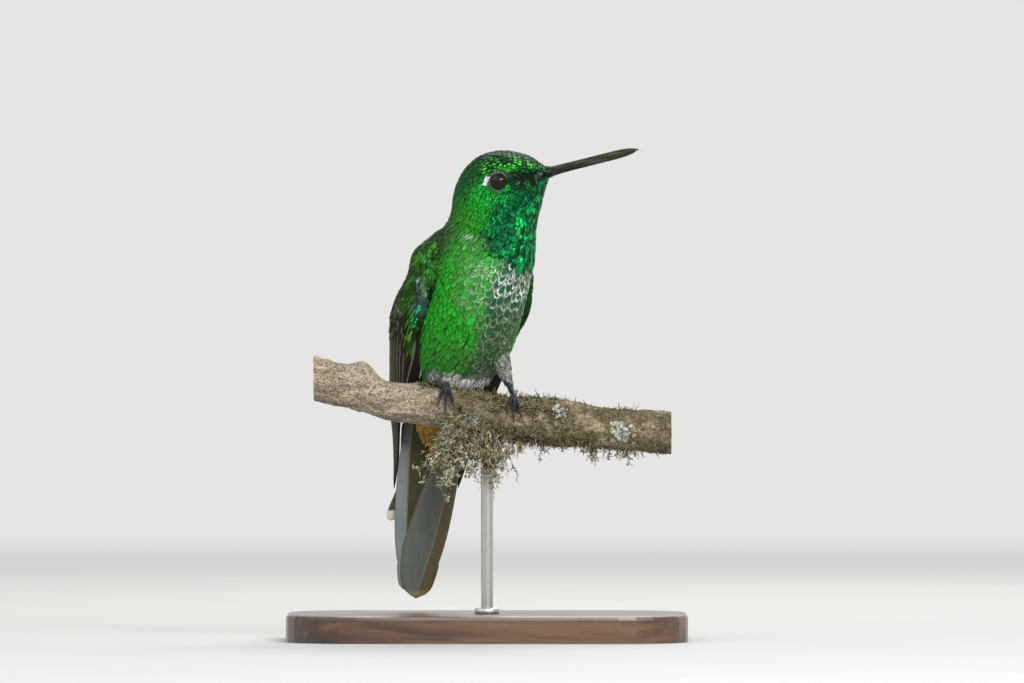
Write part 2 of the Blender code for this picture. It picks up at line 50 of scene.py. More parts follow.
# Body sections: x, y, z, yaw, tilt, back, front, side, from the bill base to the tail root and on under
# the tail coverts. Millimetres and degrees.
STATIONS = np.array(
    (
        (11.1, -5.00, 86.50, 82, 76, 1.15, 1.15, 1.30),
        (10.2, -4.90, 86.25, 82, 73, 2.30, 2.30, 2.60),
        (9.1, -4.75, 86.15, 82, 68, 3.70, 3.70, 3.90),
        (7.8, -4.55, 85.95, 82, 61, 4.95, 4.95, 4.90),
        (6.2, -4.30, 85.50, 82, 53, 6.30, 6.30, 5.60),
        (4.3, -4.10, 84.35, 82, 45, 7.60, 7.50, 6.00),
        (2.6, -3.85, 82.20, 81, 36, 8.40, 8.20, 6.20),
        (1.5, -3.70, 79.30, 79, 27, 8.50, 8.40, 6.40),
        (1.0, -3.70, 75.90, 74, 19, 8.30, 8.40, 6.80),
        (0.4, -3.50, 72.00, 64, 15, 10.3, 8.50, 8.10),
        (-1.1, -2.50, 67.00, 54, 19, 11.2, 8.70, 8.80),
        (-2.6, -0.90, 61.80, 47, 22, 10.9, 8.90, 8.95),
        (-3.9, 0.50, 56.50, 41, 23, 10.0, 8.60, 8.75),
        (-5.6, 1.90, 51.60, 34, 22, 8.50, 7.30, 7.75),
        (-7.1, 3.20, 47.50, 27, 20, 6.40, 5.30, 5.95),
        (-8.3, 4.60, 43.60, 22, 15, 4.20, 3.20, 4.60),
        (-9.1, 5.60, 40.60, 19, 12, 2.60, 2.00, 4.10),
        (-9.5, 6.90, 38.20, 18, 10, 1.90, 1.90, 3.80),
        (-9.8, 7.30, 36.00, 18, 10, 1.00, 1.30, 2.60),
    )
)
BODY_END = 18.0  # the last section
TRUNK_END = 40.6  # height of the tail's root
FULLNESS = 2.15
NECK = np.array((0.2, -3.5, 0.0))
HEAD_YAW = 82.0
EYE_RADIUS, EYE_FORWARD, EYE_SIDE, EYE_HEIGHT = 1.95, 2.75, 4.75, 84.75
BILL_ROOT_FORWARD, BILL_ROOT_HEIGHT, BILL_LENGTH, BILL_PITCH = 11.35, 86.55, 17.2, 13.9

WING_YAW = 32.5
WING_SECTIONS = np.array(
    (
        (75.2, -3.2, 8.0, -5.5, 8.5, -8.6, 6.3),
        (72.0, -1.8, 9.9, -7.2, 11.0, -11.2, 6.5),
        (67.5, 1.0, 10.9, -7.1, 10.9, -13.0, 4.6),
        (63.0, 1.2, 11.1, -7.5, 11.9, -13.5, 3.7),
        (58.0, 0.7, 11.0, -7.4, 12.1, -13.0, 3.6),
        (53.0, 0.5, 10.7, -6.0, 11.2, -10.6, 5.6),
        (47.0, 1.0, 9.7, -2.9, 10.2, -6.6, 8.2),
        (40.0, 0.4, 8.5, -1.6, 8.7, -4.0, 7.6),
        (33.5, 0.0, 7.5, -1.2, 7.7, -2.4, 7.0),
        (28.0, -1.0, 6.8, -1.3, 6.9, -1.7, 6.6),
    )
)
WING_SHIFT = {1: (0, 0, 0, 0, 0, 0, 0, 0.6, 1.8, 2.0), -1: (0, 0, 0, 0.2, 1.5, 2.7, 3.7, 4.0, 6.0, 5.6)}
PULL_IN = {1: 0.9, -1: 1.0}
LEAD_TUCK = {1: (0,) * 10, -1: (0, 1.2, 2.2, 2.6, 1.8, 0.6, 0, 0, 0, 0)}
SNUG = {1: 0.9, -1: 0.0}  # how much nearer to the body the feathered wing lies than its middle surface

TAIL_YAW, TAIL_ROOT, TAIL_TOP, TAIL_TIP, FORK_END = 18.0, 41.5, 39.8, 7.5, 22.0
TAIL_HALF_WIDTHS = (4.5, 5.8, 6.0, 5.9, 5.7, 5.4, 4.9, 4.1, 3.0, 0.9)
TAIL_STEP = 0.9  # from one layer of the tail to the next

PERCH_START, PERCH_END, PERCH_Y = -32.0, 34.0, -4.5
PERCH_HEIGHTS = (48.7, 44.8, 41.6, 39.9, 38.2)
KNOB_X, KNOB_HEIGHT, KNOB_SPREAD = -22.6, 1.7, 1.5
PERCH_SAG = 1.15  # the barked branch dips this much to the right of its knob


def forward(yaw):
    a = np.radians(yaw)
    return np.stack((np.sin(a), -np.cos(a), np.zeros_like(a)), axis=-1)


def leftward(yaw):
    a = np.radians(yaw)
    return np.stack((np.cos(a), np.sin(a), np.zeros_like(a)), axis=-1)


def spline(table, t):
    """A smooth curve through the rows of a table, read at fractional rows t."""
    table = np.asarray(table, float)
    flat = table.ndim == 1
    table = table.reshape(len(table), -1)
    t = np.asarray(t, float)
    last = len(table) - 1
    i = np.clip(np.floor(t).astype(int), 0, last - 1)
    u = (t - i)[..., None]
    a, b = table[i], table[i + 1]
    before = np.where((i > 0)[..., None], table[np.maximum(i - 1, 0)], 2 * a - b)
    after = np.where((i + 2 <= last)[..., None], table[np.minimum(i + 2, last)], 2 * b - a)
    slope_a, slope_b = (b - before) / 2, (after - a) / 2
    made = a * (2 * u**3 - 3 * u**2 + 1) + slope_a * (u**3 - 2 * u**2 + u)
    made = made + b * (3 * u**2 - 2 * u**3) + slope_b * (u**3 - u**2)
    return made[..., 0] if flat else made


def mesh_of(first, second):
    """Every pairing of two rows of numbers, as two arrays with the first running down."""
    return np.meshgrid(first, second, indexing="ij")


def round_turns(n):
    """The angles of n even steps round a circle."""
    return 2 * np.pi * np.arange(n) / n


def unit(v):
    return v / np.maximum(np.linalg.norm(v, axis=-1, keepdims=True), 1e-9)


def smooth(low, high, x):
    s = np.clip((np.asarray(x, float) - low) / (high - low), 0, 1)
    return s * s * (3 - 2 * s)


def body_raw(t, turn):
    """A point of the body's outer form. turn is 0 at the back and pi/2 on the bird's left."""
    s = spline(STATIONS, t)
    yaw, tilt = s[..., 3], np.radians(s[..., 4])[..., None]
    front = forward(yaw) * np.cos(tilt) - UP * np.sin(tilt)
    c, n = np.cos(turn), np.sin(turn)
    depth = np.sign(c) * np.abs(c) ** (2 / FULLNESS)
    width = np.sign(n) * np.abs(n) ** (2 / FULLNESS)
    reach = np.where(depth > 0, s[..., 5], s[..., 6])
    return s[..., :3] + leftward(yaw) * (s[..., 7] * width)[..., None] - front * (reach * depth)[..., None]


def body(t, turn, lift=0.0):
    """A point lifted off the body's outer form along its normal."""
    t, turn = np.broadcast_arrays(np.asarray(t, float), np.asarray(turn, float))
    step = 0.02
    here = body_raw(t, turn)
    along = body_raw(t + step, turn) - body_raw(t - step, turn)
    around = body_raw(t, turn + 0.03) - body_raw(t, turn - 0.03)
    normal = unit(np.cross(around, along))
    return here + normal * np.asarray(lift, float)[..., None]


def trunk_axis(height):
    """The trunk axis's point at a height, carried on below the tail root."""
    height = np.asarray(height, float)
    ts = np.linspace(7, 16, 400)
    path = spline(STATIONS, ts)
    order = np.argsort(path[:, 2])
    z = path[order, 2]
    x, y = np.interp(height, z, path[order, 0]), np.interp(height, z, path[order, 1])
    drop = np.maximum(0, TRUNK_END - height)
    low = height < TRUNK_END
    x = np.where(low, -9.1 - 0.13 * drop, x)
    y = np.where(low, 5.4 + 0.22 * drop, y)
    return np.stack((x, y, height), axis=-1)


def wing(height, share, sign, lift=0.0):
    """A point on the folded wing: share 0 at the leading edge, 1 at the trailing one; lift outwards."""
    height, share = np.broadcast_arrays(np.asarray(height, float), np.asarray(share, float))
    rows = np.interp(-height, -WING_SECTIONS[:, 0], np.arange(len(WING_SECTIONS)))
    values = spline(WING_SECTIONS, rows)
    shift = spline(WING_SHIFT[sign], rows)
    tuck = spline(LEAD_TUCK[sign], rows)
    pull = np.where(height > 40, PULL_IN[sign], 1.0)
    ahead, left = forward(WING_YAW), leftward(WING_YAW) * sign
    marks = []
    for k in range(3):
        scale = pull if k else np.ones_like(pull)
        mark = trunk_axis(height) + ahead * (values[..., 1 + 2 * k] * scale)[..., None]
        mark = mark + left * (values[..., 2 + 2 * k] * scale)[..., None]
        mark[..., 1] += shift + (tuck if k == 0 else 0)
        marks.append(mark)
    s = share[..., None]
    point = marks[0] * (2 * s - 1) * (s - 1) + marks[1] * 4 * s * (1 - s) + marks[2] * s * (2 * s - 1)
    along = marks[0] * (4 * s - 3) + marks[1] * (4 - 8 * s) + marks[2] * (4 * s - 1)
    outward = unit(np.cross(along, UP)) * sign
    lift = np.asarray(lift, float) - SNUG[sign] * smooth(46, 58, height)
    return point + outward * lift[..., None]


def tail(height, side, layer):
    """A point in the tail: side in millimetres to the bird's left, layer counted from the underside up."""
    height, side, layer = np.broadcast_arrays(*(np.asarray(v, float) for v in (height, side, layer)))
    drop = 42.0 - height
    axis = np.stack((-9.0 - 0.13 * drop, 6.6 + 0.175 * drop, height), axis=-1)
    back = layer * TAIL_STEP + 0.05 * side**2
    return axis + leftward(TAIL_YAW) * side[..., None] - forward(TAIL_YAW) * back[..., None]


def tail_half_width(height):
    share = (TAIL_TOP - np.asarray(height, float)) / (TAIL_TOP - TAIL_TIP)
    return spline(TAIL_HALF_WIDTHS, np.clip(share, 0, 1) * (len(TAIL_HALF_WIDTHS) - 1))


def perch_section(x):
    share = (np.asarray(x, float) - PERCH_START) / (PERCH_END - PERCH_START)
    height = spline(PERCH_HEIGHTS, share * (len(PERCH_HEIGHTS) - 1))
    height = height - PERCH_SAG * np.exp(-(((np.asarray(x, float) + 18.4) / 4.4) ** 2))
    return height, 3.85 + 0.2 * np.cos(9 * share + 0.4) + 0.12 * np.sin(21 * share)


def perch(x, angle, lift=0.0):
    """A point on the branch, angle in degrees from its top towards -Y."""
    x, angle, lift = np.broadcast_arrays(*(np.asarray(v, float) for v in (x, angle, lift)))
    height, radius = perch_section(x)
    turn = np.radians(angle)
    knob = KNOB_HEIGHT * np.exp(-((x - KNOB_X) ** 2) / (2 * KNOB_SPREAD**2))
    knob = knob * np.maximum(0, np.cos(turn)) ** 4
    ripple = 1 + 0.035 * np.sin(3 * turn + x / 4) + 0.02 * np.sin(5 * turn - x / 3)
    reach = radius * ripple + knob + lift
    y = PERCH_Y + 0.5 * np.sin(x / 11)
    return np.stack((x, y - reach * np.sin(turn), height + reach * np.cos(turn)), axis=-1)


def head_point(ahead, left, height):
    return NECK + forward(HEAD_YAW) * ahead + leftward(HEAD_YAW) * left + UP * height


# ---------------------------------------------------------------- meshes


def value_noise(p, scale, seed=0):
    """Smooth 3-D noise in 0..1 at points p, from hashed lattice values."""
    q = np.asarray(p, float) / scale + seed * 17.31
    base = np.floor(q).astype(np.int64)
    f = q - base
    f = f * f * (3 - 2 * f)
    total = np.zeros(q.shape[:-1])
    for dx in (0, 1):
        for dy in (0, 1):
            for dz in (0, 1):
                c = base + np.array((dx, dy, dz))
                h = (c[..., 0] * 73856093) ^ (c[..., 1] * 19349663) ^ (c[..., 2] * 83492791)
                h = (h * 2654435761) & 0xFFFFFF
                w = (f[..., 0] if dx else 1 - f[..., 0]) * (f[..., 1] if dy else 1 - f[..., 1])
                w = w * (f[..., 2] if dz else 1 - f[..., 2])
                total += w * h / 0xFFFFFF
    return total


def new_mesh(name, points, faces, look, uvs=(), colours=(), floats=(), nodes=(), rides=True):
    """An object from arrays in millimetres; uvs, colours and floats hold one row per vertex."""
    points = np.asarray(points, float).reshape(-1, 3) * MM
    mesh = bpy.data.meshes.new(name)
    faces = [np.asarray(f, np.int32) for f in (faces if isinstance(faces, list) else [faces])]
    loops = np.concatenate([f.ravel() for f in faces])
    sizes = np.concatenate([np.full(len(f), f.shape[1], np.int32) for f in faces])
    mesh.vertices.add(len(points))
    mesh.vertices.foreach_set("co", points.astype(np.float32).ravel())
    mesh.loops.add(len(loops))
    mesh.loops.foreach_set("vertex_index", loops)
    mesh.polygons.add(len(sizes))
    mesh.polygons.foreach_set("loop_start", np.concatenate(([0], np.cumsum(sizes)[:-1])).astype(np.int32))
    mesh.update(calc_edges=True)
    mesh.validate()
    for key, values in dict(uvs).items():
        layer = mesh.uv_layers.new(name=key)
        layer.data.foreach_set("uv", np.asarray(values, np.float32)[loops].ravel())
    for key, values in dict(colours).items():
        full = np.ones((len(points), 4), np.float32)
        full[:, :3] = values
        mesh.attributes.new(key, "FLOAT_COLOR", "POINT").data.foreach_set("color", full.ravel())
    for key, values in dict(floats).items():
        layer = mesh.attributes.new(key, "FLOAT", "POINT")
        layer.data.foreach_set("value", np.asarray(values, np.float32).ravel())
    mesh.shade_smooth()
    mesh.materials.append(look)
    made = bpy.data.objects.new(name, mesh)
    bpy.context.scene.collection.objects.link(made)
    if rides:
        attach(made, "root")
    if nodes:
        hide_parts(*nodes)
    return made


def grid_faces(rows, columns, wrap=False, loop=False):
    """Quads of a grid of vertices; wrap joins the last column to the first, loop the last row."""
    r = np.arange(rows if loop else rows - 1)[:, None]
    c = np.arange(columns if wrap else columns - 1)[None, :]
    s, d = (r + 1) % rows, (c + 1) % columns
    return np.stack((r * columns + c, r * columns + d, s * columns + d, s * columns + c), -1).reshape(-1, 4)


def closed_rings(rings):
    """Vertices, quads and triangles of rings of points, closed by a fan at each end."""
    rows, columns = rings.shape[:2]
    points = np.concatenate((rings.reshape(-1, 3), [rings[0].mean(0)], [rings[-1].mean(0)]))
    ring, last = np.arange(columns), (rows - 1) * columns
    after = (ring + 1) % columns
    start = np.stack((np.full(columns, rows * columns), after, ring), -1)
    end = np.stack((np.full(columns, rows * columns + 1), last + ring, last + after), -1)
    return points, grid_faces(rows, columns, wrap=True), np.concatenate((start, end))


UV_MAPS, COLOURS = ("OFBake", "Vane"), ("disc", "rim")


class Pile:
    """Collects many small meshes of the same kind, and their maps and values, into one."""

    def __init__(self):
        self.points, self.quads, self.tris, self.count = [], [], [], 0
        self.extra = {}

    def add(self, points, quads, tris=None, **extra):
        points = np.asarray(points, float).reshape(-1, 3)
        self.points.append(points)
        self.quads.append(np.asarray(quads) + self.count)
        if tris is not None:
            self.tris.append(tris + self.count)
        for key, value in extra.items():
            value = np.asarray(value, float)
            if value.ndim < 2:
                value = np.broadcast_to(value, (len(points), value.size))
            self.extra.setdefault(key, []).append(value)
        self.count += len(points)

    def build(self, name, look, nodes=()):
        faces = [np.concatenate(kind) for kind in (self.quads, self.tris) if kind]
        get = {k: np.concatenate(v) for k, v in self.extra.items()}
        return new_mesh(
            name, np.concatenate(self.points), faces, look, nodes=nodes,
            uvs={k: get[k] for k in UV_MAPS if k in get},
            colours={k: get[k] for k in COLOURS if k in get},
            floats={k: v[:, 0] for k, v in get.items() if k not in UV_MAPS + COLOURS},
        )


# ---------------------------------------------------------------- materials


class Wire:
    """An output of a material's nodes that can be reckoned with."""

    def __init__(self, look, socket):
        self.look, self.socket = look, socket

    def __add__(self, other):
        return self.look.math("ADD", self, other)

    def __sub__(self, other):
        return self.look.math("SUBTRACT", self, other)

    def __rsub__(self, other):
        return self.look.math("SUBTRACT", other, self)

    def __mul__(self, other):
        return self.look.math("MULTIPLY", self, other)

    def __truediv__(self, other):
        return self.look.math("DIVIDE", self, other)

    def __pow__(self, other):
        return self.look.math("POWER", self, other)

    def __abs__(self):
        return self.look.math("ABSOLUTE", self)


class Look:
    """A Principled material, built from nodes with a few short calls."""

    def __init__(self, name, roughness, specular=0.5, metallic=0.0):
        self.material = bpy.data.materials.new(name)
        self.material.use_nodes = True
        self.tree = self.material.node_tree
        self.shader = self.tree.nodes["Principled BSDF"]
        self.fill(self.shader, {"Roughness": roughness, "Specular IOR Level": specular, "Metallic": metallic})

    def put(self, value, socket):
        """Sets a socket to a number, a colour or another node's output."""
        if isinstance(value, Wire):
            self.tree.links.new(value.socket, socket)
        elif socket.type == "RGBA" and len(value) == 3:
            socket.default_value = (*value, 1.0)
        else:
            socket.default_value = value

    def fill(self, node, values):
        for key, value in values.items():
            self.put(value, node.inputs[key])

    def node(self, kind, *values, **settings):
        """A node with its first inputs filled; gives back the node."""
        made = self.tree.nodes.new("ShaderNode" + kind)
        for key, value in settings.items():
            setattr(made, key, value)
        self.fill(made, dict(enumerate(values)))
        return made

    def math(self, operation, *values):
        return Wire(self, self.node("Math", *values, operation=operation).outputs[0])

    def map(self, value, low, high, to_low=0.0, to_high=1.0):
        made = self.node("MapRange", value, low, high, to_low, to_high, interpolation_type="SMOOTHSTEP")
        return Wire(self, made.outputs[0])

    def mix(self, share, a, b, blend="MIX"):
        made = self.node("Mix", data_type="RGBA", blend_type=blend, clamp_factor=True)
        self.fill(made, {0: share, 6: a, 7: b})
        return Wire(self, made.outputs[2])

    def noise(self, scale, detail=3.0, rough=0.5, stretch=None, distortion=0.0, at=None):
        """Noise over the object's own coordinates, or at a place of its own."""
        made = self.node("TexNoise")
        self.fill(made, {"Scale": scale, "Detail": detail, "Roughness": rough, "Distortion": distortion})
        at = at or Wire(self, self.node("TexCoord").outputs["Object"])
        if stretch:
            mapping = self.node("Mapping")
            self.fill(mapping, {"Scale": stretch, "Vector": at})
            at = Wire(self, mapping.outputs["Vector"])
        self.put(at, made.inputs["Vector"])
        return Wire(self, made.outputs["Fac"])

    def colour(self, name):
        return Wire(self, self.node("Attribute", attribute_name=name).outputs["Color"])

    def value(self, name):
        return Wire(self, self.node("Attribute", attribute_name=name).outputs["Fac"])

    def vane(self):
        """(u along the feather, v across it from -1 to 1) from the map called Vane."""
        uv = Wire(self, self.node("UVMap", uv_map="Vane").outputs[0])
        split = self.node("SeparateXYZ", uv)
        return Wire(self, split.outputs[0]), Wire(self, split.outputs[1])

    def shaded(self, colour, shade):
        grey = Wire(self, self.node("CombineColor", shade, shade, shade).outputs[0])
        return self.mix(1.0, colour, grey, "MULTIPLY")

    def finish(self, colour, height=None, distance=0.0):
        """Puts in the colour, and relief distance metres deep, and gives back the material."""
        self.put(colour, self.shader.inputs["Base Color"])
        if height:
            bump = self.node("Bump")
            self.fill(bump, {"Strength": 1.0, "Distance": distance, "Height": height})
            self.put(Wire(self, bump.outputs[0]), self.shader.inputs["Normal"])
        return self.material


def mottled_look(name, roughness, grain, ends, dark, light, relief=0.0, specular=0.5):
    """A material that runs from dark to light with one grain, which may be its relief too."""
    look = Look(name, roughness, specular)
    tone = look.noise(*grain)
    return look.finish(look.mix(look.map(tone, *ends), dark, light), tone if relief else None, relief)


def feather_look(name, roughness, metallic):
    """Feathers: an inner colour, a hairy-edged fringe, and barbs slanting off a fine shaft."""
    look = Look(name, roughness, specular=0.10)
    u, v = look.vane()
    across = abs(v)
    # barbs run out and forward from the shaft, so lines of equal u - 0.45 |v| are one barb
    where = look.node("CombineXYZ", (u - across * 0.45) * 7.0, v * 1.2, look.value("own") * 61.0)
    barb = look.noise(1.0, 4.0, 0.72, at=Wire(look, where.outputs[0]))
    ahead = look.math("MAXIMUM", (u - 0.70) / 0.30, (0.70 - u) / 0.36)
    reach = look.math("SQRT", ahead**2.0 + across**2.0) + (barb - 0.5)
    edge = 1.0 - look.value("fringe")
    mask = look.map(reach, edge - 0.16, edge + 0.16)
    shade = ((barb - 0.5) * 2.8 + 1.0) * (look.noise(2300.0, 4.0, 0.70) * 1.9 + 0.08)
    colour = look.mix(mask, look.colour("disc"), look.colour("rim"))
    colour = look.shaded(colour, look.math("MAXIMUM", shade, 0.12))
    metal = look.value("metal") * metallic * (1.0 - mask * 0.7)
    look.put(metal, look.shader.inputs["Metallic"])
    shaft = look.map(across, 0.02, 0.10, 1.0, 0.0)
    return look.finish(colour, barb + shaft * 0.3, 0.00007)


def skin_look():
    look = Look("skin", 0.65)
    fluff = look.noise(1400.0, 4.0, 0.6, stretch=(1, 1, 0.35))
    return look.finish(look.shaded(look.colour("disc"), fluff * 0.7 + 0.45), fluff, 0.0001)


def flight_look():
    """Long wing and tail feathers: two vane colours, a pale shaft, fine barbs and a pale tip."""
    look = Look("flight_feathers", 0.45, specular=0.18)
    u, v = look.vane()
    across, fringe = abs(v), look.value("fringe")
    colour = look.mix(look.map(v, -0.03, 0.03), look.colour("disc"), look.colour("rim"))
    root = look.map(u, 0.14, 0.22, 0.66, 0.0) * look.map(fringe, 0.0, 0.1)
    colour = look.mix(root, colour, (0.030, 0.030, 0.018))
    line = look.math("SINE", (u * 90.0 - across * 9.0) * 6.2832) * 0.5 + 0.5
    streak = look.noise(500.0, 4.0, 0.6, stretch=(1, 1, 0.12))
    colour = look.shaded(colour, (line * 0.30 + 0.85) * (streak * 0.7 + 0.65))
    colour = look.mix(look.map(across, 0.88, 1.0) * 0.5, colour, (0.13, 0.115, 0.075))
    shaft = look.map(across, 0.015, 0.055, 1.0, 0.0)
    colour = look.mix(shaft * look.value("shaft"), colour, (0.25, 0.22, 0.155))
    start = look.map(fringe, 0.8, 0.95, 0.955, 0.90)
    tip = look.map(u + streak * 0.02, start, start + 0.03) * fringe
    pale = look.mix(look.map(fringe, 0.8, 0.95), (0.50, 0.40, 0.19), (0.74, 0.71, 0.60))
    look.put(look.value("metal") * 0.5, look.shader.inputs["Metallic"])
    return look.finish(look.mix(tip, colour, pale), line * 0.35 + shaft * 1.2, 0.00006)


# ---------------------------------------------------------------- plumage

EYES = {1: head_point(EYE_FORWARD, EYE_SIDE, EYE_HEIGHT), -1: head_point(EYE_FORWARD, -EYE_SIDE, EYE_HEIGHT)}
LID_RING = 1.98  # radius of the bare ring round the eye

CROWN_DARK, CROWN_GREEN = (0.004, 0.022, 0.011), (0.075, 0.700, 0.030)
CHEEK, CHEEK_LIGHT = (0.008, 0.240, 0.018), (0.013, 0.370, 0.034)
NAPE, LORES = (0.024, 0.190, 0.010), (0.003, 0.013, 0.006)
GORGET_DARK, GORGET, GORGET_LIGHT = (0.002, 0.060, 0.022), (0.004, 0.235, 0.052), (0.010, 0.500, 0.105)
FLANK, FLANK_DEEP, FLANK_GOLD = (0.016, 0.280, 0.014), (0.010, 0.170, 0.011), (0.042, 0.300, 0.016)
BREAST_GREEN, BREAST_SPOT, NECK_PALE = (0.034, 0.280, 0.046), (0.020, 0.100, 0.030), (0.060, 0.245, 0.045)
BACK, BELLY_GREEN, BELLY_DUSK = (0.016, 0.075, 0.012), (0.016, 0.078, 0.022), (0.040, 0.085, 0.026)
MANTLE = (0.030, 0.050, 0.026)
WHITE, BUFF_GREY, RUFOUS = (0.72, 0.77, 0.78), (0.22, 0.26, 0.165), (0.50, 0.265, 0.038)
VENT_WHITE, THIGH_GREY = (0.88, 0.89, 0.82), (0.12, 0.14, 0.11)


def blend(share, a, b):
    share = np.asarray(share, float)[..., None]
    return np.asarray(a) * (1 - share) + np.asarray(b) * share


def plumage(t, turn):
    """Markings at body places: (disc colour, rim colour, fringe width, metal).

    t runs from the bill's base (0) to the tail's root (16); side is the angle off the ventral midline.
    """
    t, turn = np.broadcast_arrays(np.asarray(t, float), np.asarray(turn, float))
    place = body_raw(t, turn)
    phi = np.degrees(np.arctan2(np.sin(turn - np.pi), np.cos(turn - np.pi)))
    side = np.abs(phi)
    broad = value_noise(place, 3.4, 2)
    mottle = value_noise(place, 1.8, 3)
    fine = value_noise(place, 0.8, 5)

    def lay(share, colour, edge, fringe_width, shine):
        nonlocal disc, rim, fringe, metal
        disc, rim = blend(share, disc, colour), blend(share, rim, edge)
        fringe = fringe * (1 - share) + fringe_width * share
        metal = metal * (1 - share) + shine * share

    # flanks: bright green, duller and mottled towards the belly, darker towards the back
    disc = blend(smooth(0.45, 0.85, mottle) * 0.35, FLANK, FLANK_GOLD)
    disc = blend(smooth(0.55, 0.2, broad) * 0.35, disc, FLANK_DEEP)
    rim, fringe, metal = disc * 0.88, np.full(t.shape, 0.16), np.full(t.shape, 0.6)
    lay(smooth(96, 135, side), BACK, np.array(BACK) * 0.6, 0.16, 0.8)
    dusk = smooth(11.2, 13.0, t) * smooth(108, 66, side) * (0.30 + 0.60 * mottle)
    lay(dusk, BELLY_DUSK, (0.07, 0.12, 0.05), 0.22, 0.4)

    # neck and nape
    neck = smooth(9.5, 8.5, t)
    colour = blend(smooth(70, 125, side), CHEEK, NAPE)
    colour = blend(smooth(130, 156, side) * 0.8, colour, BACK)
    lay(neck, blend(smooth(0.45, 0.85, mottle) * 0.4, colour, BACK), colour * 0.7, 0.16, 0.75)
    # paler, hairy-looking neck side just behind the gorget's lower corner
    pale = np.exp(-(((t - 9.1) / 0.75) ** 2) - ((side - 88) / 20) ** 2)
    lay(pale * (0.05 + 0.35 * fine), NECK_PALE, (0.16, 0.34, 0.13), 0.30, 0.45)
    mantle = smooth(8.2, 8.9, t + 0.5 * (mottle - 0.5)) * smooth(11.5, 10.0, t) * smooth(112, 128, side)
    lay(mantle * 0.85, MANTLE, np.array(MANTLE) * 1.7, 0.25, 0.3)

    # breast side: green discs with pale fringes, then the white band and the spotted belly
    pale = smooth(9.0, 9.3, t) * smooth(11.4, 10.3, t) * smooth(92, 62, side + 12 * (t - 9.6))
    lay(pale, BREAST_GREEN, (0.29, 0.47, 0.23), 0.27, 0.5)
    half = np.interp(t, (9.1, 9.6, 10.3, 10.8, 11.6, 12.2, 13.0, 14.0), (46, 42, 36, 34, 30, 27, 23, 20))
    belly = smooth(half + 9, half - 9, side + 12 * (mottle - 0.5)) * smooth(8.9, 9.1, t)
    white = belly * smooth(10.9, 10.0, t + 0.5 * (mottle - 0.5))
    whitest = smooth(40, 30, side) * smooth(9.0, 9.4, t) * smooth(10.3, 9.9, t)
    edge = blend(smooth(0.7, 0.35, fine) * 0.6, BUFF_GREY, BELLY_DUSK)
    lay(belly, BELLY_GREEN, edge, 0.19 + 0.20 * broad, 0.3)
    dull = smooth(0.66, 0.36, fine) * 0.65
    lay(white, BREAST_SPOT, blend(dull, WHITE, BUFF_GREY), 0.205 + 0.12 * whitest - 0.05 * dull, 0.25)

    # painted shade: dusky down laid dark in the hollow before the left leg, where its shadow falls
    hollow = smooth(12.5, 13.2, t) * smooth(-6, -24, np.where(side < 90, phi, 0.0))
    lay(hollow, (0.020, 0.030, 0.020), (0.040, 0.050, 0.040), 0.3, 0.1)
    vent = smooth(12.95, 13.4, t) * smooth(75, 58, side) * smooth(-12, 4, phi)
    vent = np.maximum(vent, smooth(13.9, 14.4, t) * smooth(75, 50, side))
    lay(vent, VENT_WHITE, VENT_WHITE, 0.3, 0.0)
    crissum = smooth(15.2, 15.9, t) * smooth(100, 75, side)
    colour = blend(smooth(0.55, 0.75, fine) * 0.5, RUFOUS, (0.12, 0.13, 0.03))
    lay(crissum, colour, (0.40, 0.22, 0.07), 0.3, 0.0)

    # head: bright cheek, dark crown with green flecks, black-green lores
    head = smooth(7.9, 6.8, t)
    cheek = blend(smooth(0.35, 0.8, fine) * 0.5, CHEEK, CHEEK_LIGHT)
    cheek = blend(smooth(0.55, 0.3, broad) * 0.3, cheek, GORGET)
    lay(head, cheek, cheek * 0.62, 0.16, 0.8)
    lay(smooth(118, 140, side) * smooth(4.5, 6.5, t) * head * 0.25, BACK, np.array(BACK) * 0.7, 0.2, 0.5)
    crown = smooth(104, 120, side + 5 * (mottle - 0.5) - 10 * smooth(5, 7.5, t)) * smooth(8.0, 6.4, t)
    shine = (0.12 + 0.88 * smooth(150, 114, side) ** 1.5) * (1 - 0.85 * smooth(4.5, 6.6, t))
    shine = np.clip(shine * (0.06 + 1.5 * smooth(0.36, 0.66, value_noise(place, 0.50, 12))), 0, 1)
    edge = blend(smooth(4.5, 7, t) * 0.4, CROWN_DARK, CHEEK)
    lay(crown, blend(shine, CROWN_DARK, CROWN_GREEN), edge, 0.46, 0.6)
    lores = smooth(5.3, 4.6, t) * smooth(52, 66, side + 12 * (fine - 0.5))
    lores = lores * smooth(112, 100, side + 2 * (t - 3))
    colour = blend(smooth(0.62, 0.75, fine), LORES, (0.008, 0.13, 0.02))
    lay(lores, colour, np.array(LORES) * 0.7, 0.3, 0.4)

    # gorget, pointed at its lower middle; its sides are painted darker than its front as painted shade, and
    # scattered feathers carry painted glints
    bottom = np.interp(side, (0, 10, 17, 42, 68, 84, 94), (9.22, 9.28, 9.32, 9.08, 8.83, 8.55, 8.15))
    gorget = smooth(bottom + 0.07, bottom - 0.07, t + 0.18 * (fine - 0.5))
    edge = np.interp(t, (0, 3, 5.5, 7.4, 8.6), (60, 62, 79, 88, 90))
    gorget = gorget * smooth(edge + 9, edge - 9, side + 14 * (fine - 0.5) + 16 * (mottle - 0.5))
    # painted shade: the gorget's sides, turned from the light, are laid teal-black
    gorget_side_shade = smooth(38, 62, side + 14 * (mottle - 0.5))
    gorget_side_shade = gorget_side_shade * (1 - 0.7 * smooth(66, 80, side) * smooth(8.4, 7.9, t))
    colour = blend(smooth(0.35, 0.62, fine), GORGET_DARK, GORGET)
    # painted glints: bright scattered feathers, fewer on the shaded sides
    gorget_glints = smooth(0.58, 0.75, value_noise(place, 1.0, 8)) * (1 - 0.7 * gorget_side_shade)
    colour = blend(gorget_glints, colour, GORGET_LIGHT)
    colour = blend(gorget_side_shade * 0.75, colour, GORGET_DARK)
    lay(gorget, colour, colour * 0.50, 0.20, 1.0)

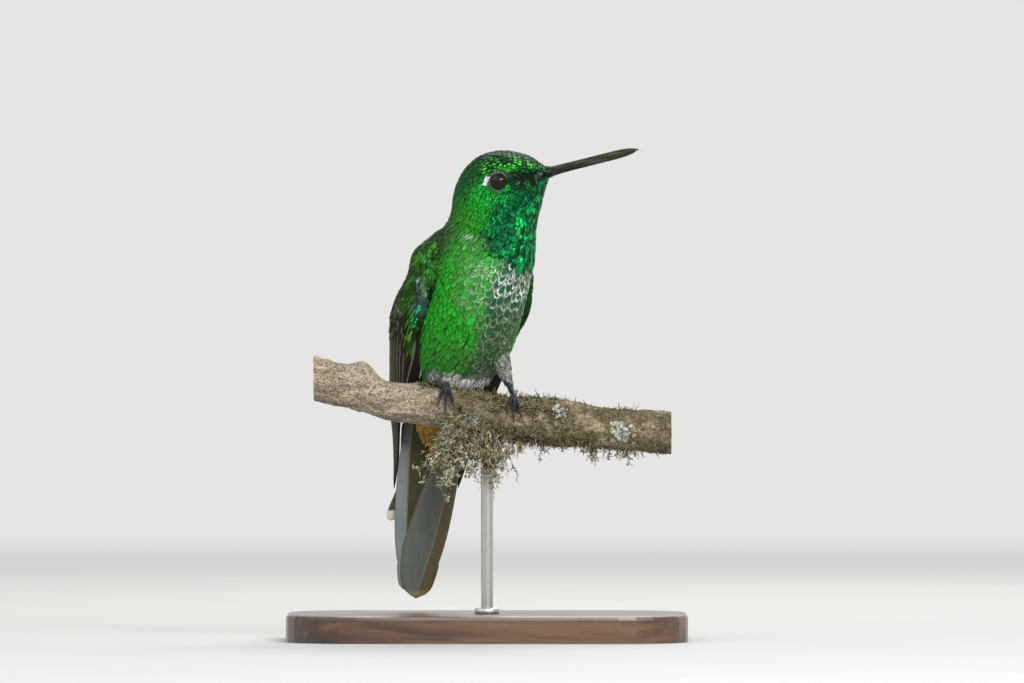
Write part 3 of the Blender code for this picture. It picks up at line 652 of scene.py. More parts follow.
    # white mark behind each eye, and a small pale fleck at the side of the neck
    for sign, eye in EYES.items():
        away = place - eye
        ahead, high = away @ forward(HEAD_YAW), away[..., 2]
        brow = smooth(3.1, 2.4, np.hypot(ahead, high)) * smooth(0.6, 1.3, high) * (np.sign(-phi) == sign)
        lay(brow * 0.65, (0.016, 0.090, 0.010), (0.010, 0.050, 0.006), 0.2, 0.5)
        spot = (((ahead + 2.38 - 0.32 * high) / 0.50) ** 2 + ((high - 0.05) / 1.0) ** 2) ** 0.5
        lay(smooth(0.80, 0.60, spot) * (np.sign(-phi) == sign), WHITE, WHITE, 0.2, 0.0)
    spot = ((t - 8.50 - 0.012 * (side - 98)) / 0.11) ** 2 + ((side - 98) / 5) ** 2
    lay(smooth(1.4, 0.4, spot) * 0.25, (0.20, 0.38, 0.18), (0.50, 0.60, 0.48), 0.4, 0.1)
    return disc, rim, fringe, metal


# ---------------------------------------------------------------- small feathers

VANE_U = np.array((0.0, 0.35, 0.6, 0.76, 0.88, 0.96, 1.0))
VANE_W = np.array((0.42, 0.90, 1.0, 0.93, 0.74, 0.45, 0.12))
VANE_V = np.array((-1.0, -0.5, 0.0, 0.5, 1.0))


def vane_template():
    """(u, v, under) of each vertex of a closed thin vane, and its quads."""
    rows, columns = len(VANE_U), len(VANE_V)
    top = np.arange(rows * columns).reshape(rows, columns)
    under = top.copy()
    inner = rows * columns + np.arange((rows - 2) * (columns - 2)).reshape(rows - 2, columns - 2)
    under[1:-1, 1:-1] = inner
    quads = []
    for sheet, flip in ((top, False), (under, True)):
        quad = np.stack((sheet[:-1, :-1], sheet[:-1, 1:], sheet[1:, 1:], sheet[1:, :-1]), -1).reshape(-1, 4)
        quads.append(quad[:, ::-1] if flip else quad)
    u, v = mesh_of(VANE_U, VANE_V)
    u_all = np.concatenate((u.ravel(), u[1:-1, 1:-1].ravel()))
    v_all = np.concatenate((v.ravel(), v[1:-1, 1:-1].ravel()))
    below = np.concatenate((np.zeros(u.size), np.ones(inner.size)))
    return u_all, v_all, below, np.concatenate(quads)


PATCH = 0.003  # how wide a feather's patch is on the bump map, at its root's place
T_U, T_V, T_UNDER, T_QUADS = vane_template()
T_WIDTH = np.interp(T_U, VANE_U, VANE_W)


def repeated(faces, n, size):
    """The faces of n alike pieces of size vertices each, one after another."""
    return (faces[None] + (np.arange(n) * size)[:, None, None]).reshape(-1, 4)


def drape(surface, p, q, scale_p, scale_q, length, width, lie, low, high, thick=0.03, ragged=0.05, bow=0.055):
    """Vertices of many vanes laid on a surface(p, q, lift).

    Each vane starts at its p and q and runs along +p, turned by lie towards +q. scale_p and scale_q are
    millimetres per unit of p and q there, low and high its lift at the root and tip, and bow how much it
    arches across as a share of its width.
    """
    n = len(p)
    scale_p, scale_q, length, width, lie, low, high = (
        np.broadcast_to(a, n)[:, None] for a in (scale_p, scale_q, length, width, lie, low, high)
    )
    jitter = 1 + ragged * RNG.standard_normal((n, len(T_U))) * (np.abs(T_V) > 0.9)
    along = T_U * length + ragged * 0.8 * width * RNG.standard_normal((n, len(T_U))) * (T_U > 0.9)
    across = T_V * T_WIDTH * width / 2 * jitter
    c, s = np.cos(lie), np.sin(lie)
    dp = (along * c - across * s) / scale_p
    dq = (along * s + across * c) / scale_q
    crown = (1 - T_V**2) * bow * width * (0.3 + 0.7 * T_U)
    lift = low + (high - low) * T_U**0.9 + crown - thick * T_UNDER
    return surface(p[:, None] + dp, q[:, None] + dq, lift)


def coat(name, surface, p, q, scale_p, scale_q, length, width, lie, low, high, marks, root_uv, bow=0.055):
    """One piece of coat: many small vanes with their colours, maps and roots."""
    points = drape(surface, p, q, scale_p, scale_q, length, width, lie, low, high, bow=bow)
    n, m = points.shape[:2]
    patch = PATCH / 2 * np.stack((T_V, 2 * T_U - 1), -1)
    vane = np.tile(np.stack((T_U, T_V), -1), (n, 1))

    def spread(a):
        return np.repeat(np.broadcast_to(a, (n, *np.shape(a)[1:])), m, axis=0)

    disc, rim, fringe, metal = (spread(a) for a in marks)
    new_mesh(
        name, points, repeated(T_QUADS, n, m), FEATHERS,
        uvs={"OFBake": (root_uv[:, None] + patch).reshape(-1, 2), "Vane": vane},
        colours={"disc": disc, "rim": rim},
        floats={"fringe": fringe, "metal": metal, "own": spread(RNG.random(n))},
    )


def body_scales(t, turn):
    """Millimetres per unit of t and per radian of turn on the body."""
    along = np.linalg.norm(body_raw(t + 0.02, turn) - body_raw(t - 0.02, turn), axis=-1) / 0.04
    around = np.linalg.norm(body_raw(t, turn + 0.02) - body_raw(t, turn - 0.02), axis=-1) / 0.04
    return np.maximum(along, 0.6), np.maximum(around, 0.5)


def body_rows(start, end, turn_low, turn_high, gap, aspect):
    """Staggered feather roots between two turns: arrays t, turn and nominal spacing."""
    ts, turns, gaps = [], [], []
    t, row = start, 0
    while t < end:
        spacing = gap(t)
        samples = np.linspace(turn_low, turn_high, 40)
        around = body_scales(np.full(40, t), samples)[1]
        arc = np.concatenate(([0], np.cumsum((around[1:] + around[:-1]) / 2 * np.diff(samples))))
        count = max(3, int(round(arc[-1] / (spacing * aspect))))
        at = (np.arange(count) + (0.5 if row % 2 else 0.0) + 0.1 * RNG.standard_normal(count)) / count
        at = at % 1.0 if turn_high - turn_low > 6.2 else np.clip(at, 0, 1)
        ts.append(t + 0.0275 * spacing * RNG.standard_normal(count))
        turns.append(np.interp(at * arc[-1], arc, samples))
        gaps.append(np.full(count, spacing))
        t += spacing / float(np.median(body_scales(np.full(9, t), np.linspace(turn_low, turn_high, 9))[0]))
        row += 1
    return np.concatenate(ts), np.concatenate(turns), np.concatenate(gaps)


def body_uv(t, turn):
    return np.stack(((turn / (2 * np.pi)) % 1.0 * 0.98 + 0.01, 0.01 + 0.98 * np.clip(t, 0, 18.5) / 18.5), -1)


def glitter(n):
    """A brightness for each feather, a few of them catching the light."""
    made = np.exp(0.17 * RNG.standard_normal(n))
    return np.where(RNG.random(n) < 0.05, made * 1.5, made)


def body_coat(name, t, turn, gap, length_factor=2.9, width_factor=1.32, top=0.10, only=None, bow=0.055):
    """Feathers at given roots on the body, sized by their spacing and kept off the eyes and the bill."""
    scale_t, scale_turn = body_scales(t, turn)
    length = gap * length_factor * (1 + 0.08 * RNG.standard_normal(len(t)))
    width = gap * width_factor * (1 + 0.07 * RNG.standard_normal(len(t)))
    lie = 0.13 * RNG.standard_normal(len(t))
    keep = np.ones(len(t), bool)
    for eye in EYES.values():
        near = np.linalg.norm(body_raw(t, turn) - eye, axis=-1)
        keep &= near > LID_RING + 0.05
        for part in (0.4, 0.7, 1.0):
            reach = body_raw(t + part * length / scale_t, turn)
            close = np.linalg.norm(reach - eye, axis=-1) < LID_RING + 0.12
            length = np.where(close, np.minimum(length, np.maximum(0.35, (near - LID_RING) * 1.02)), length)
        shrink = smooth(LID_RING, LID_RING + 1.6, near)
        width = width * (0.5 + 0.5 * shrink)
        length = length * (0.75 + 0.25 * shrink)
    if only is not None:
        keep &= only(t, turn)
    t, turn, length, width, lie = (a[keep] for a in (t, turn, length, width, lie))
    scale_t, scale_turn = scale_t[keep], scale_turn[keep]
    disc, rim, fringe, metal = plumage(np.clip(t + 0.75 * length / scale_t, 0, BODY_END), turn)
    gain, shine = glitter(len(t))[:, None], metal[:, None].clip(0, 1)
    disc = disc * (gain * shine + (1 - shine))
    high = top + 0.025 * RNG.standard_normal(len(t))
    low = -0.065 * length - 0.02
    marks, uv = (disc, rim, fringe, metal), body_uv(t, turn)
    coat(name, body, t, turn, scale_t, scale_turn, length, width, lie, low, high, marks, uv, bow)


# ---------------------------------------------------------------- build: body

FEATHERS = feather_look("small_feathers", 0.46, 0.60)
FLIGHT = flight_look()
SKIN = skin_look()


def add_tube(pile, path, radii, sides, **extra):
    """A closed tube along a path of points."""
    path = np.asarray(path, float)
    along = unit(np.gradient(path, axis=0))
    side = np.cross(along[0], UP if abs(along[0][2]) < 0.9 else np.array((1.0, 0, 0)))
    c, s = np.cos(round_turns(sides)), np.sin(round_turns(sides))
    rings = []
    for here, way, radius in zip(path, along, radii):
        side = unit(side - way * (side @ way))
        rings.append(here + radius * (np.outer(c, side) + np.outer(s, np.cross(way, side))))
    pile.add(*closed_rings(np.array(rings)), **extra)


THIGHS = {
    1: (np.array((1.2, -0.2, 55.2)), np.array((3.9, -4.6, 47.9))),
    -1: (np.array((-9.0, -1.4, 52.0)), np.array((-10.2, -6.3, 48.0))),
}


def build_skin():
    """One skin under the body's coat and round the thighs."""
    tt, qq = mesh_of(np.linspace(0.0, BODY_END, 150), np.linspace(0, 2 * np.pi, 96, endpoint=False))
    points = body(tt, qq, -0.20 - 0.16 * smooth(1.5, 8, tt))
    disc = plumage(tt, qq)[0].reshape(-1, 3) * 0.75
    disc, uv = (np.concatenate((a, a[:1], a[-1:])) for a in (disc, body_uv(tt, qq).reshape(-1, 2)))
    pile = Pile()
    pile.add(*closed_rings(points), disc=disc, OFBake=uv)
    for hip, ankle in THIGHS.values():
        path = [hip * (1 - s) + ankle * s for s in np.linspace(0, 1.04, 12)]
        radii = np.interp(np.linspace(0, 1, 12), (0, 0.3, 0.7, 1), (2.1, 1.75, 1.1, 0.55))
        add_tube(pile, path, radii, 16, disc=np.array(THIGH_GREY) * 0.5, OFBake=(0.005, 0.005))
    tail_coverts = ("undertail_coverts", "uppertail_coverts")
    pile.build("skin", SKIN, nodes=("head", "neck", "trunk", *tail_coverts, "thigh_left", "thigh_right"))


def build_body_coat():
    """Small scale-like feathers on the head, growing larger and softer down the body."""

    def spacing(ts, gaps):
        return lambda t: np.interp(t, ts, gaps)

    def off(turn):
        return np.abs(np.degrees(turn % (2 * np.pi)) - 180)

    def border(t):
        return np.interp(t, (8.6, 9.3, 10.5, 11.5, 13, 16), (96, 86, 64, 50, 44, 44))

    def below_throat(t, turn):
        return ~((t < 8.9) & (np.abs(np.degrees(turn) - 180) < 62))

    def front(t, turn):
        return below_throat(t, turn) & (off(turn) < border(t) + 5 * RNG.standard_normal(len(t)))

    def side(t, turn):
        return below_throat(t, turn) & (off(turn) > border(t) - 5) & (np.cos(turn) < 0.1)

    def rear(t, turn):
        return below_throat(t, turn) & (np.cos(turn) >= 0.1)

    back, throat, whole = np.radians(117), np.radians((180 - 74, 180 + 74)), (0.0, 2 * np.pi)
    crown_gaps = spacing((-0.1, 2, 4, 7.6), (0.42, 0.66, 0.80, 0.86))
    roots = body_rows(-0.1, 7.7, -back, back, crown_gaps, 0.56)
    body_coat("coat_crown", *roots, width_factor=0.80, length_factor=2.5, top=0.05)
    gorget_gaps = spacing((-0.1, 2, 5, 9.5), (0.28, 0.43, 0.66, 1.00))
    body_coat("coat_gorget", *body_rows(-0.1, 9.3, *throat, gorget_gaps, 1.0), top=0.06)
    breast_gaps = spacing((8.0, 8.6, 9.3, 10.3, 11.2, 14, 16.2), (0.95, 1.05, 1.40, 1.40, 1.15, 1.05, 0.95))
    body_coat("coat_breast", *body_rows(8.2, 16.2, *whole, breast_gaps, 0.92), top=0.06, only=front)
    rear_gaps = spacing((7.2, 8.6, 10, 14, 16.2), (0.74, 0.82, 0.98, 1.02, 0.90))
    for name, only in (("coat_flanks", side), ("coat_back", rear)):
        roots = body_rows(7.2, 16.2, *whole, rear_gaps, 0.92)
        body_coat(name, *roots, length_factor=3.2, top=0.03, only=only, bow=0.03)


def lie_toward(t, turn, direction):
    """How far a feather on the body turns from +t towards +turn to point along a direction."""
    down = unit(body_raw(t + 0.02, turn) - body_raw(t - 0.02, turn))
    round_ = unit(body_raw(t, turn + 0.01) - body_raw(t, turn - 0.01))
    return np.arctan2(np.sum(direction * round_, -1), np.sum(direction * down, -1))


def build_pale_marks():
    """The white wedge behind each eye, and pale hairs on the sides of the neck and breast."""
    tries, most = 60000, 110
    for sign, side in ((1, "left"), (-1, "right")):
        # the white wedge, narrow above and wider below
        t = 2.5 + 4.0 * RNG.random(tries)
        turn = np.radians(180 - sign * (60 + 60 * RNG.random(tries)))
        away = body_raw(t, turn) - EYES[sign]
        ahead, high = away @ forward(HEAD_YAW), away[:, 2]
        share = np.clip((0.95 - high) / 1.75, 0, 1)
        inside = (high > -0.30) & (high < 1.0) & (np.abs(ahead + 2.12 + 0.50 * share) < 0.14 + 0.18 * share)
        pick = np.flatnonzero(inside)[:most]
        t, turn = t[pick], turn[pick]
        n = len(t)
        axis = unit(-forward(HEAD_YAW) * 0.35 - UP)
        tone = blend(RNG.random(n), (0.60, 0.65, 0.66), (0.80, 0.83, 0.84))
        coat(
            f"coat_eye_mark_{side}", body, t, turn, *body_scales(t, turn), 0.50 + 0.15 * RNG.random(n), 0.17,
            lie_toward(t, turn, axis) + 0.15 * RNG.standard_normal(n), 0.09, 0.14 + 0.05 * RNG.random(n),
            (tone, tone, 0.2, 0.0), body_uv(t, turn), bow=0.2,
        )
    # hairs: most on the neck's sides, some over the breast's, and a white tuft low on each side
    n = 430
    t = 8.25 + 2.35 * RNG.random(n) ** 1.25
    off = np.interp(t, (8.1, 8.7, 9.5, 11), (100, 92, 74, 56)) + 12 * RNG.standard_normal(n)
    turn = np.radians(180 + np.where(np.arange(n) % 2, 1, -1) * off)
    tuft = np.exp(-(((t - 8.36 - 0.012 * (off - 98)) / 0.10) ** 2) - ((off - 98) / 4.0) ** 2)
    tone = blend(RNG.random(n) ** 1.8, (0.032, 0.170, 0.030), (0.23, 0.40, 0.20))
    tone = blend(tuft.clip(0, 1) * 0.8, tone, (0.62, 0.66, 0.62))
    length, width = 0.8 + 0.9 * RNG.random(n), 0.11 + 0.05 * RNG.random(n)
    lie = np.where(tuft > 0.3, lie_toward(t, turn, unit(-forward(60) * 0.6 - UP)), 0.0)
    coat(
        "coat_pale_hairs", body, t, turn, *body_scales(t, turn), length, width,
        lie + 0.20 * RNG.standard_normal(n), 0.04, 0.11 + 0.05 * RNG.random(n),
        (tone, tone, 0.2, 0.1), body_uv(t, turn), bow=0.2,
    )


def bill_frame():
    """The bill's root, and its directions ahead, left and up."""
    pitch = math.radians(BILL_PITCH)
    ahead = forward(HEAD_YAW) * math.cos(pitch) + UP * math.sin(pitch)
    left = leftward(HEAD_YAW)
    up = np.cross(ahead, left)
    return head_point(BILL_ROOT_FORWARD, 0.0, BILL_ROOT_HEIGHT), ahead, left, up if up[2] > 0 else -up


def build_bill_base():
    """Tiny feathers running forward over the bill's root, to a point at each side."""
    root, ahead, left, up = bill_frame()
    n = 420
    angle = (RNG.random(n) * 1.56 - 0.28) * np.pi  # 0 left side, pi/2 top
    edge = np.abs(np.abs(angle - np.pi / 2) - 1.25)
    front = 0.75 + 0.95 * np.exp(-((edge / 0.42) ** 2))
    back = RNG.random(n) ** 0.7 * (front + 0.5)

    def surface(p, q, lift):
        flare = np.exp(-np.maximum(-p, 0) / 0.07 / BILL_LENGTH)
        grow = 1 + 0.35 * np.maximum(p, 0)
        wide, tall = (0.78 + 0.42 * flare) * grow, (0.88 + 0.17 * flare) * grow
        c, s = np.cos(q), np.sin(q)
        rise = (tall + lift) * np.sign(s) * np.abs(s) ** 0.9
        return root - ahead * p[..., None] + left * ((wide + lift) * c)[..., None] + up * rise[..., None]

    p, high = back - front, angle - np.pi / 2
    pale = np.exp(-(((np.abs(high) - 1.42) / 0.16) ** 2)) * (RNG.random(n) < 0.7)
    tone = blend(smooth(1.3, 0.5, np.abs(high)) * RNG.random(n) ** 2, LORES, (0.030, 0.24, 0.022))
    tone = blend(pale * 0.8, tone, (0.15, 0.17, 0.14))
    coat(
        "coat_bill_base", surface, p, angle, 1.0, 1.0, 0.55 + 0.25 * RNG.random(n),
        0.16 + 0.05 * RNG.random(n), 0.15 * RNG.standard_normal(n), -0.02, 0.08 + 0.05 * RNG.random(n),
        (tone, tone * 0.7, 0.2, 0.3), np.stack((0.5 + 0.1 * high / 3, np.full(n, 0.005)), -1), bow=0.15,
    )


def build_gape():
    """Fine pale bristly feathers running back from the bill's root below the lores."""
    n = 40
    share = RNG.random(n) ** 0.8
    t = 0.02 + 1.7 * share
    side = 99 - 16 * share + 4.5 * RNG.standard_normal(n)
    sign = np.where(np.arange(n) % 2, 1.0, -1.0)
    turn = np.radians(180 + sign * side)
    scale_t, scale_turn = body_scales(t, turn)
    lie = np.arctan2(-sign * 0.37 * scale_turn, 2.2 * scale_t) + 0.10 * RNG.standard_normal(n)
    tone = blend(RNG.random(n) ** 1.5, (0.020, 0.040, 0.022), (0.20, 0.23, 0.19))
    coat(
        "coat_gape", body, t, turn, scale_t, scale_turn, 0.9 + 0.9 * RNG.random(n), 0.085, lie, 0.02,
        0.08 + 0.05 * RNG.random(n), (tone, tone * 1.1, 0.2, 0.0), body_uv(t, turn),
    )


def build_vent_down():
    """Loose white down at the vent, between the legs."""
    n = 300
    t = 13.0 + 1.6 * RNG.random(n)
    turn = np.radians(180 + 12 + 26 * RNG.standard_normal(n))
    tone = blend(RNG.random(n) ** 1.5, VENT_WHITE, (0.30, 0.31, 0.27))
    coat(
        "coat_vent", body, t, turn, *body_scales(t, turn), 1.5 + 0.9 * RNG.random(n),
        0.14 + 0.07 * RNG.random(n), 0.35 * RNG.standard_normal(n), -0.05, 0.20 + 0.75 * RNG.random(n) ** 2,
        (tone, tone, 0.2, 0.0), body_uv(t, turn), bow=0.2,
    )


def build_thigh_coat():
    """Downy grey feathers round each thigh, hanging to the ankle."""
    for sign, (hip, ankle) in THIGHS.items():
        axis = unit(ankle - hip)
        side = unit(np.cross(axis, UP))
        across = np.cross(axis, side)
        size = np.linalg.norm(ankle - hip)
        n = 420 if sign > 0 else 160
        share = RNG.random(n) ** 0.8 * 0.86
        turn = RNG.random(n) * 2 * np.pi

        def surface(p, q, lift, hip=hip, axis=axis, side=side, across=across, size=size):
            radius = np.interp(p / size, (0, 0.3, 0.7, 1, 1.2), (2.25, 1.95, 1.3, 0.72, 0.5)) + lift
            ring = np.cos(q)[..., None] * side + np.sin(q)[..., None] * across
            return hip + axis * p[..., None] + ring * radius[..., None]

        tone = blend(RNG.random(n) ** 1.5, THIGH_GREY, (0.36, 0.37, 0.31))
        if sign < 0:
            tone = blend(smooth(0.62, 0.30, share), tone * 0.8, FLANK_DEEP)
        radius = np.interp(share, (0, 0.3, 0.7, 1), (2.25, 1.95, 1.3, 0.72))
        uv = np.stack((0.3 + 0.2 * (sign > 0) + 0.1 * turn / 6.3, 0.02 + 0.9 * share), -1)
        length = 2.3 * (1 + 0.2 * RNG.standard_normal(n))
        coat(
            f"coat_thigh_{'left' if sign > 0 else 'right'}", surface, share * size, turn, 1.0, radius,
            length, 0.36, 0.25 * RNG.standard_normal(n), -0.25, 0.12 + 0.15 * RNG.random(n),
            (tone, tone * 1.15, 0.3, 0.0), uv,
        )


def build_tail_coverts():
    """Rufous feathers under the tail's root, and bronze-green ones over it."""
    for name, sign, n, colour, edge, start, reach, layer in (
        ("coat_undertail", -1, 620, (0.20, 0.155, 0.035), (0.42, 0.30, 0.12), TAIL_ROOT, 8.0, -1.0),
        ("coat_uppertail", 1, 420, (0.012, 0.062, 0.009), (0.030, 0.105, 0.016), 48.6, 17.0, 2.6),
    ):
        under = sign < 0
        drop = np.sort(RNG.random(n) ** 0.9) * reach * 0.80
        side = (RNG.random(n) * 2 - 1) * (3.3 if under else 3.9) * (1 - drop / reach) ** 0.5
        if under:
            side = side + 1.9 * (drop / reach) * smooth(0, 1, drop / reach)

        def surface(p, q, lift, under=under, sign=sign, layer=layer, start=start, reach=reach):
            share = np.clip(p / reach, 0, 1.2)
            tall = 1.7 - 1.1 * share if under else 0.30 + 1.15 * np.sin(np.pi * share.clip(0, 1) ** 0.8)
            dome = tall * np.sqrt(np.clip(1 - (q / 4.6) ** 2, 0, 1)) - 0.5 * smooth(3.0, 4.6, np.abs(q))
            dome = dome - (0.0 if under else 1.3) * smooth(4.0, 0.0, p)
            return tail(start - p, q, layer + sign * (dome + lift) / TAIL_STEP)

        tone = blend(RNG.random(n) ** 2 * 0.6, colour, edge)
        if under:
            tone = blend(smooth(1.6, 4.2, drop), tone, np.array(RUFOUS) * 0.95)
        tone = tone * (0.6 + 0.6 * RNG.random((n, 1)))
        rim = tone * 1.15 if under else np.tile(edge, (n, 1))
        coat(
            name, surface, drop, side, 1.0, 1.0,
            (1.9 if under else 3.2) + 0.4 * RNG.standard_normal(n), 0.42 if under else 1.25,
            (0.12 if under else 0.16) * RNG.standard_normal(n) + (0.22 if under else 0.0),
            -0.25 if under else -0.5, (0.02 if under else 0.05) + 0.08 * RNG.random(n),
            (tone, rim, 0.16, 0.0 if under else 0.7),
            np.stack((0.5 + 0.04 * side * (-0.5 if under else 0.5) + 0.2 * sign, 0.9 + 0.005 * drop), -1),
        )


# ---------------------------------------------------------------- build: wings and tail


def blade(pile, grid, toward, thick, place, disc, rim, metal, shaft, fringe=0.0):
    """A long feather from a grid of points (along, across, 3), closed by a lower sheet and its rim.

    Its normals face roughly toward, and place is its number and the count of feathers on its bump map.
    """
    normals = unit(np.cross(np.gradient(grid, axis=0), np.gradient(grid, axis=1)))
    normals = normals * np.sign(np.sum(normals * toward, axis=-1, keepdims=True) + 1e-9)
    rows, columns = grid.shape[:2]
    uu, vv = mesh_of(np.linspace(0, 1, rows), np.linspace(-1, 1, columns))
    ridge = np.exp(-((vv / 0.10) ** 2)) * 0.03 * (1 - 0.6 * uu)
    top, under = grid + normals * (thick / 2 + ridge)[..., None], grid - normals * (thick / 2)
    size, sheet = rows * columns, grid_faces(rows, columns)
    index = np.arange(size).reshape(rows, columns)
    edge = np.concatenate((index[0], index[1:, -1], index[-1, -2::-1], index[-2:0:-1, 0]))
    after = np.roll(edge, -1)
    band = np.stack((after, edge, edge + size, after + size), -1)
    start, width = (place[0] + 0.05) / place[1], 0.9 / place[1]
    bake = np.stack((start + width * 0.46 * (vv + 1) / 2, 0.02 + 0.96 * uu), -1).reshape(-1, 2)
    pile.add(
        np.concatenate((top, under)),
        np.concatenate((sheet, sheet[:, ::-1] + size, band)),
        Vane=np.tile(np.stack((uu, vv), -1).reshape(-1, 2), (2, 1)),
        OFBake=np.concatenate((bake, bake + np.array((width * 0.5, 0)))),
        disc=disc, rim=rim, metal=metal, shaft=shaft, fringe=fringe,
    )


def rounded(u, start, over):
    """How a vane narrows along u to a rounded tip, from start on and over a share of its length."""
    return np.sqrt(np.clip(1 - ((u - start) / over).clip(0, 1) ** 2, 0, 1))


def across_shaft(low, shaft, high, taper):
    """Places across a vane, from its low edge over the shaft to its high edge, at each step along it."""
    v = np.linspace(-1, 1, ACROSS)[None]
    reach = np.where(v < 0, (shaft - low)[:, None], (high - shaft)[:, None])
    return shaft[:, None] + reach * v * taper[:, None], 1 - v**2


PRIMARY_TIPS = (28.0, 29.0, 31.0, 33.4, 35.8, 38.4, 41.0, 43.4, 45.4, 47.2)
SECONDARY_TIPS = (53.2, 54.0, 54.8, 55.6, 56.6, 58.0)
PRIMARY_DARK, PRIMARY_WARM = (0.009, 0.008, 0.003), (0.022, 0.018, 0.006)
ACROSS = 9  # points across a long feather
SHOULDER = 75.2  # height from which distances down the wing are counted
ARM_TOP, ARM_END, CHORD = 75.0, 61.2, 13.0
# number, first distance down the wing, reach, spread, length, width
STREAKS = ((22, 11.6, 4.2, 0.016, 2.9, 0.34), (16, 12.6, 6.0, 0.034, 5.0, 0.24))
EMERALD_SPOTS = (  # distance down the wing, share of the chord, width
    (12.4, 0.045, 0.8), (12.9, 0.035, 0.8), (13.3, 0.055, 0.6),
    (14.6, 0.05, 0.6), (15.2, 0.035, 0.45), (15.9, 0.045, 0.4),
)


def wing_puff(drop, share, sign):
    """How far the left wing's leading edge stands off its middle surface, beside the breast."""
    return (1.35 if sign > 0 else 0.0) * np.exp(-(((drop - 14.5) / 5.0) ** 2)) * smooth(0.5, 0.0, share)


def build_wing_feathers(side, sign):
    """The primaries, counted from the leading edge, and the secondaries behind them."""
    pile = Pile()
    tips = PRIMARY_TIPS + SECONDARY_TIPS
    u = np.linspace(0, 1, 34)
    for k, tip in enumerate(tips):
        primary = k < len(PRIMARY_TIPS)
        root = 64.5 - 0.25 * k if primary else 63.5
        height = root + (tip - root) * u
        if primary:
            lead = 0.008 + 0.062 * k + 0.010 * k * smooth(60, 40, height)
            width = np.interp(height, (28, 34, 40, 47, 53, 58, 64), (1.0, 0.9, 0.62, 0.42, 0.27, 0.20, 0.13))
            reach = np.minimum(0.34 * width, 0.045 + 0.004 * k)
        else:
            lead, width, reach = 0.60 + 0.055 * (k - len(PRIMARY_TIPS)) + u * 0, 0.20, 0.09
        # the first primary reaches out over the gap to the flank, carrying painted shadow there
        if k == 0:
            lead = lead - 0.13 * smooth(60, 52, height) * smooth(38, 46, height)
            reach = 0.34 * width
        trail = np.minimum(lead + width, 1.0)
        lead = np.minimum(lead, trail - 0.04)
        shaft = np.minimum(lead + reach, 0.5 * (lead + trail))
        if k == 0:
            lead = lead - 0.16 * smooth(54, 50, height) * smooth(42, 46, height)
        taper = rounded(u, 0.86, 0.14) * (0.45 + 0.55 * smooth(0, 0.2, u))
        share, arch = across_shaft(lead, shaft, trail, taper)
        hh = np.broadcast_to(height[:, None], share.shape)
        lift = 0.10 - 0.30 * smooth(60, 66, hh) + (0.045 * k - 0.30) * smooth(30, 50, hh) + 0.10 * arch
        grid = wing(hh, share, sign, lift + wing_puff(SHOULDER - hh, share, sign))
        tone = blend(RNG.random() * 0.6 + (0.4 if k % 2 else 0.0), PRIMARY_DARK, PRIMARY_WARM)
        # the first primary's outer vane is darkened: painted shadow between wing and flank
        outer = tone * (1.5 if k else 0.5) if primary else blend(0.35, tone, (0.03, 0.07, 0.02))
        toward = leftward(WING_YAW) * sign - forward(WING_YAW) * 0.4
        blade(pile, grid, toward, 0.10, (k, len(tips)), outer, tone * 0.7, 0.15, 0.9)
    nodes = (f"wing_{side}_primaries", f"wing_{side}_secondaries")
    pile.build(f"flight_feathers_wing_{side}", FLIGHT, nodes=nodes)


def gap_to_body(height, share, sign):
    """How far the wing's middle surface stands off the body."""
    tt, qq = mesh_of(np.linspace(6, 15, 90), np.linspace(0, 2 * np.pi, 96, endpoint=False))
    cloud = body_raw(tt, qq).reshape(-1, 3)
    outward = unit(cloud - np.stack((*trunk_axis(cloud[:, 2])[:, :2].T, cloud[:, 2]), -1))
    places = wing(height, share, sign)
    flat = places.reshape(-1, 3)
    away = flat[:, None] - cloud[None]
    distance = np.linalg.norm(away, axis=-1)
    nearest = distance.argmin(1)
    rows = np.arange(len(flat))
    inside = np.sum(away[rows, nearest] * outward[nearest], -1) < 0
    return (distance[rows, nearest] * np.where(inside, -1, 1)).reshape(places.shape[:-1]).clip(0.0, 4.5)


def wrist_strip(drop):
    """Where the wrist's blue-grey strip lies across the wing, by the distance below the shoulder."""
    return np.interp(drop, (6, 8, 10, 12, 14, 16), (0.21, 0.165, 0.11, 0.065, 0.05, 0.04))


def arm_thickness(share):
    """Thickness of the arm at a share of its length."""
    return 0.9 + 1.5 * np.sin(np.pi * np.minimum(1.0, 0.22 + 0.62 * share))


def arm_edge(place, share):
    """How the arm thins towards its two edges, more at the rear."""
    return np.sin(np.pi * (0.12 + 0.76 * place)) * (1 - 0.8 * smooth(0.35, 0.72, share))


def build_wing_arm(side, sign):
    """The arm's skin, filled in to the body behind it."""
    rows, columns = 26, 16
    share = np.linspace(0, 1, rows)
    height, across = (ARM_TOP + (ARM_END - ARM_TOP) * share)[:, None], np.linspace(0.03, 0.97, columns)[None]
    thick = (arm_thickness(share)[:, None] - 0.7) / 2 * arm_edge(np.linspace(0, 1, columns), across)
    outer = wing(height, across, sign, thick + wing_puff(SHOULDER - height, across, sign))
    inner = wing(height, across, sign, -gap_to_body(height, across, sign) - 0.25)
    uv = np.stack(mesh_of(share, np.linspace(0, 1, 2 * columns))[::-1], -1).reshape(-1, 2)
    pile = Pile()
    pile.add(
        *closed_rings(np.concatenate((outer, inner[:, ::-1]), axis=1)),
        disc=np.array(BACK) * 0.6, OFBake=np.concatenate((uv, ((0.5, 0.0), (0.5, 1.0)))),
    )
    pile.build(f"wing_arm_{side}", SKIN, nodes=(f"wing_{side}_coverts",))


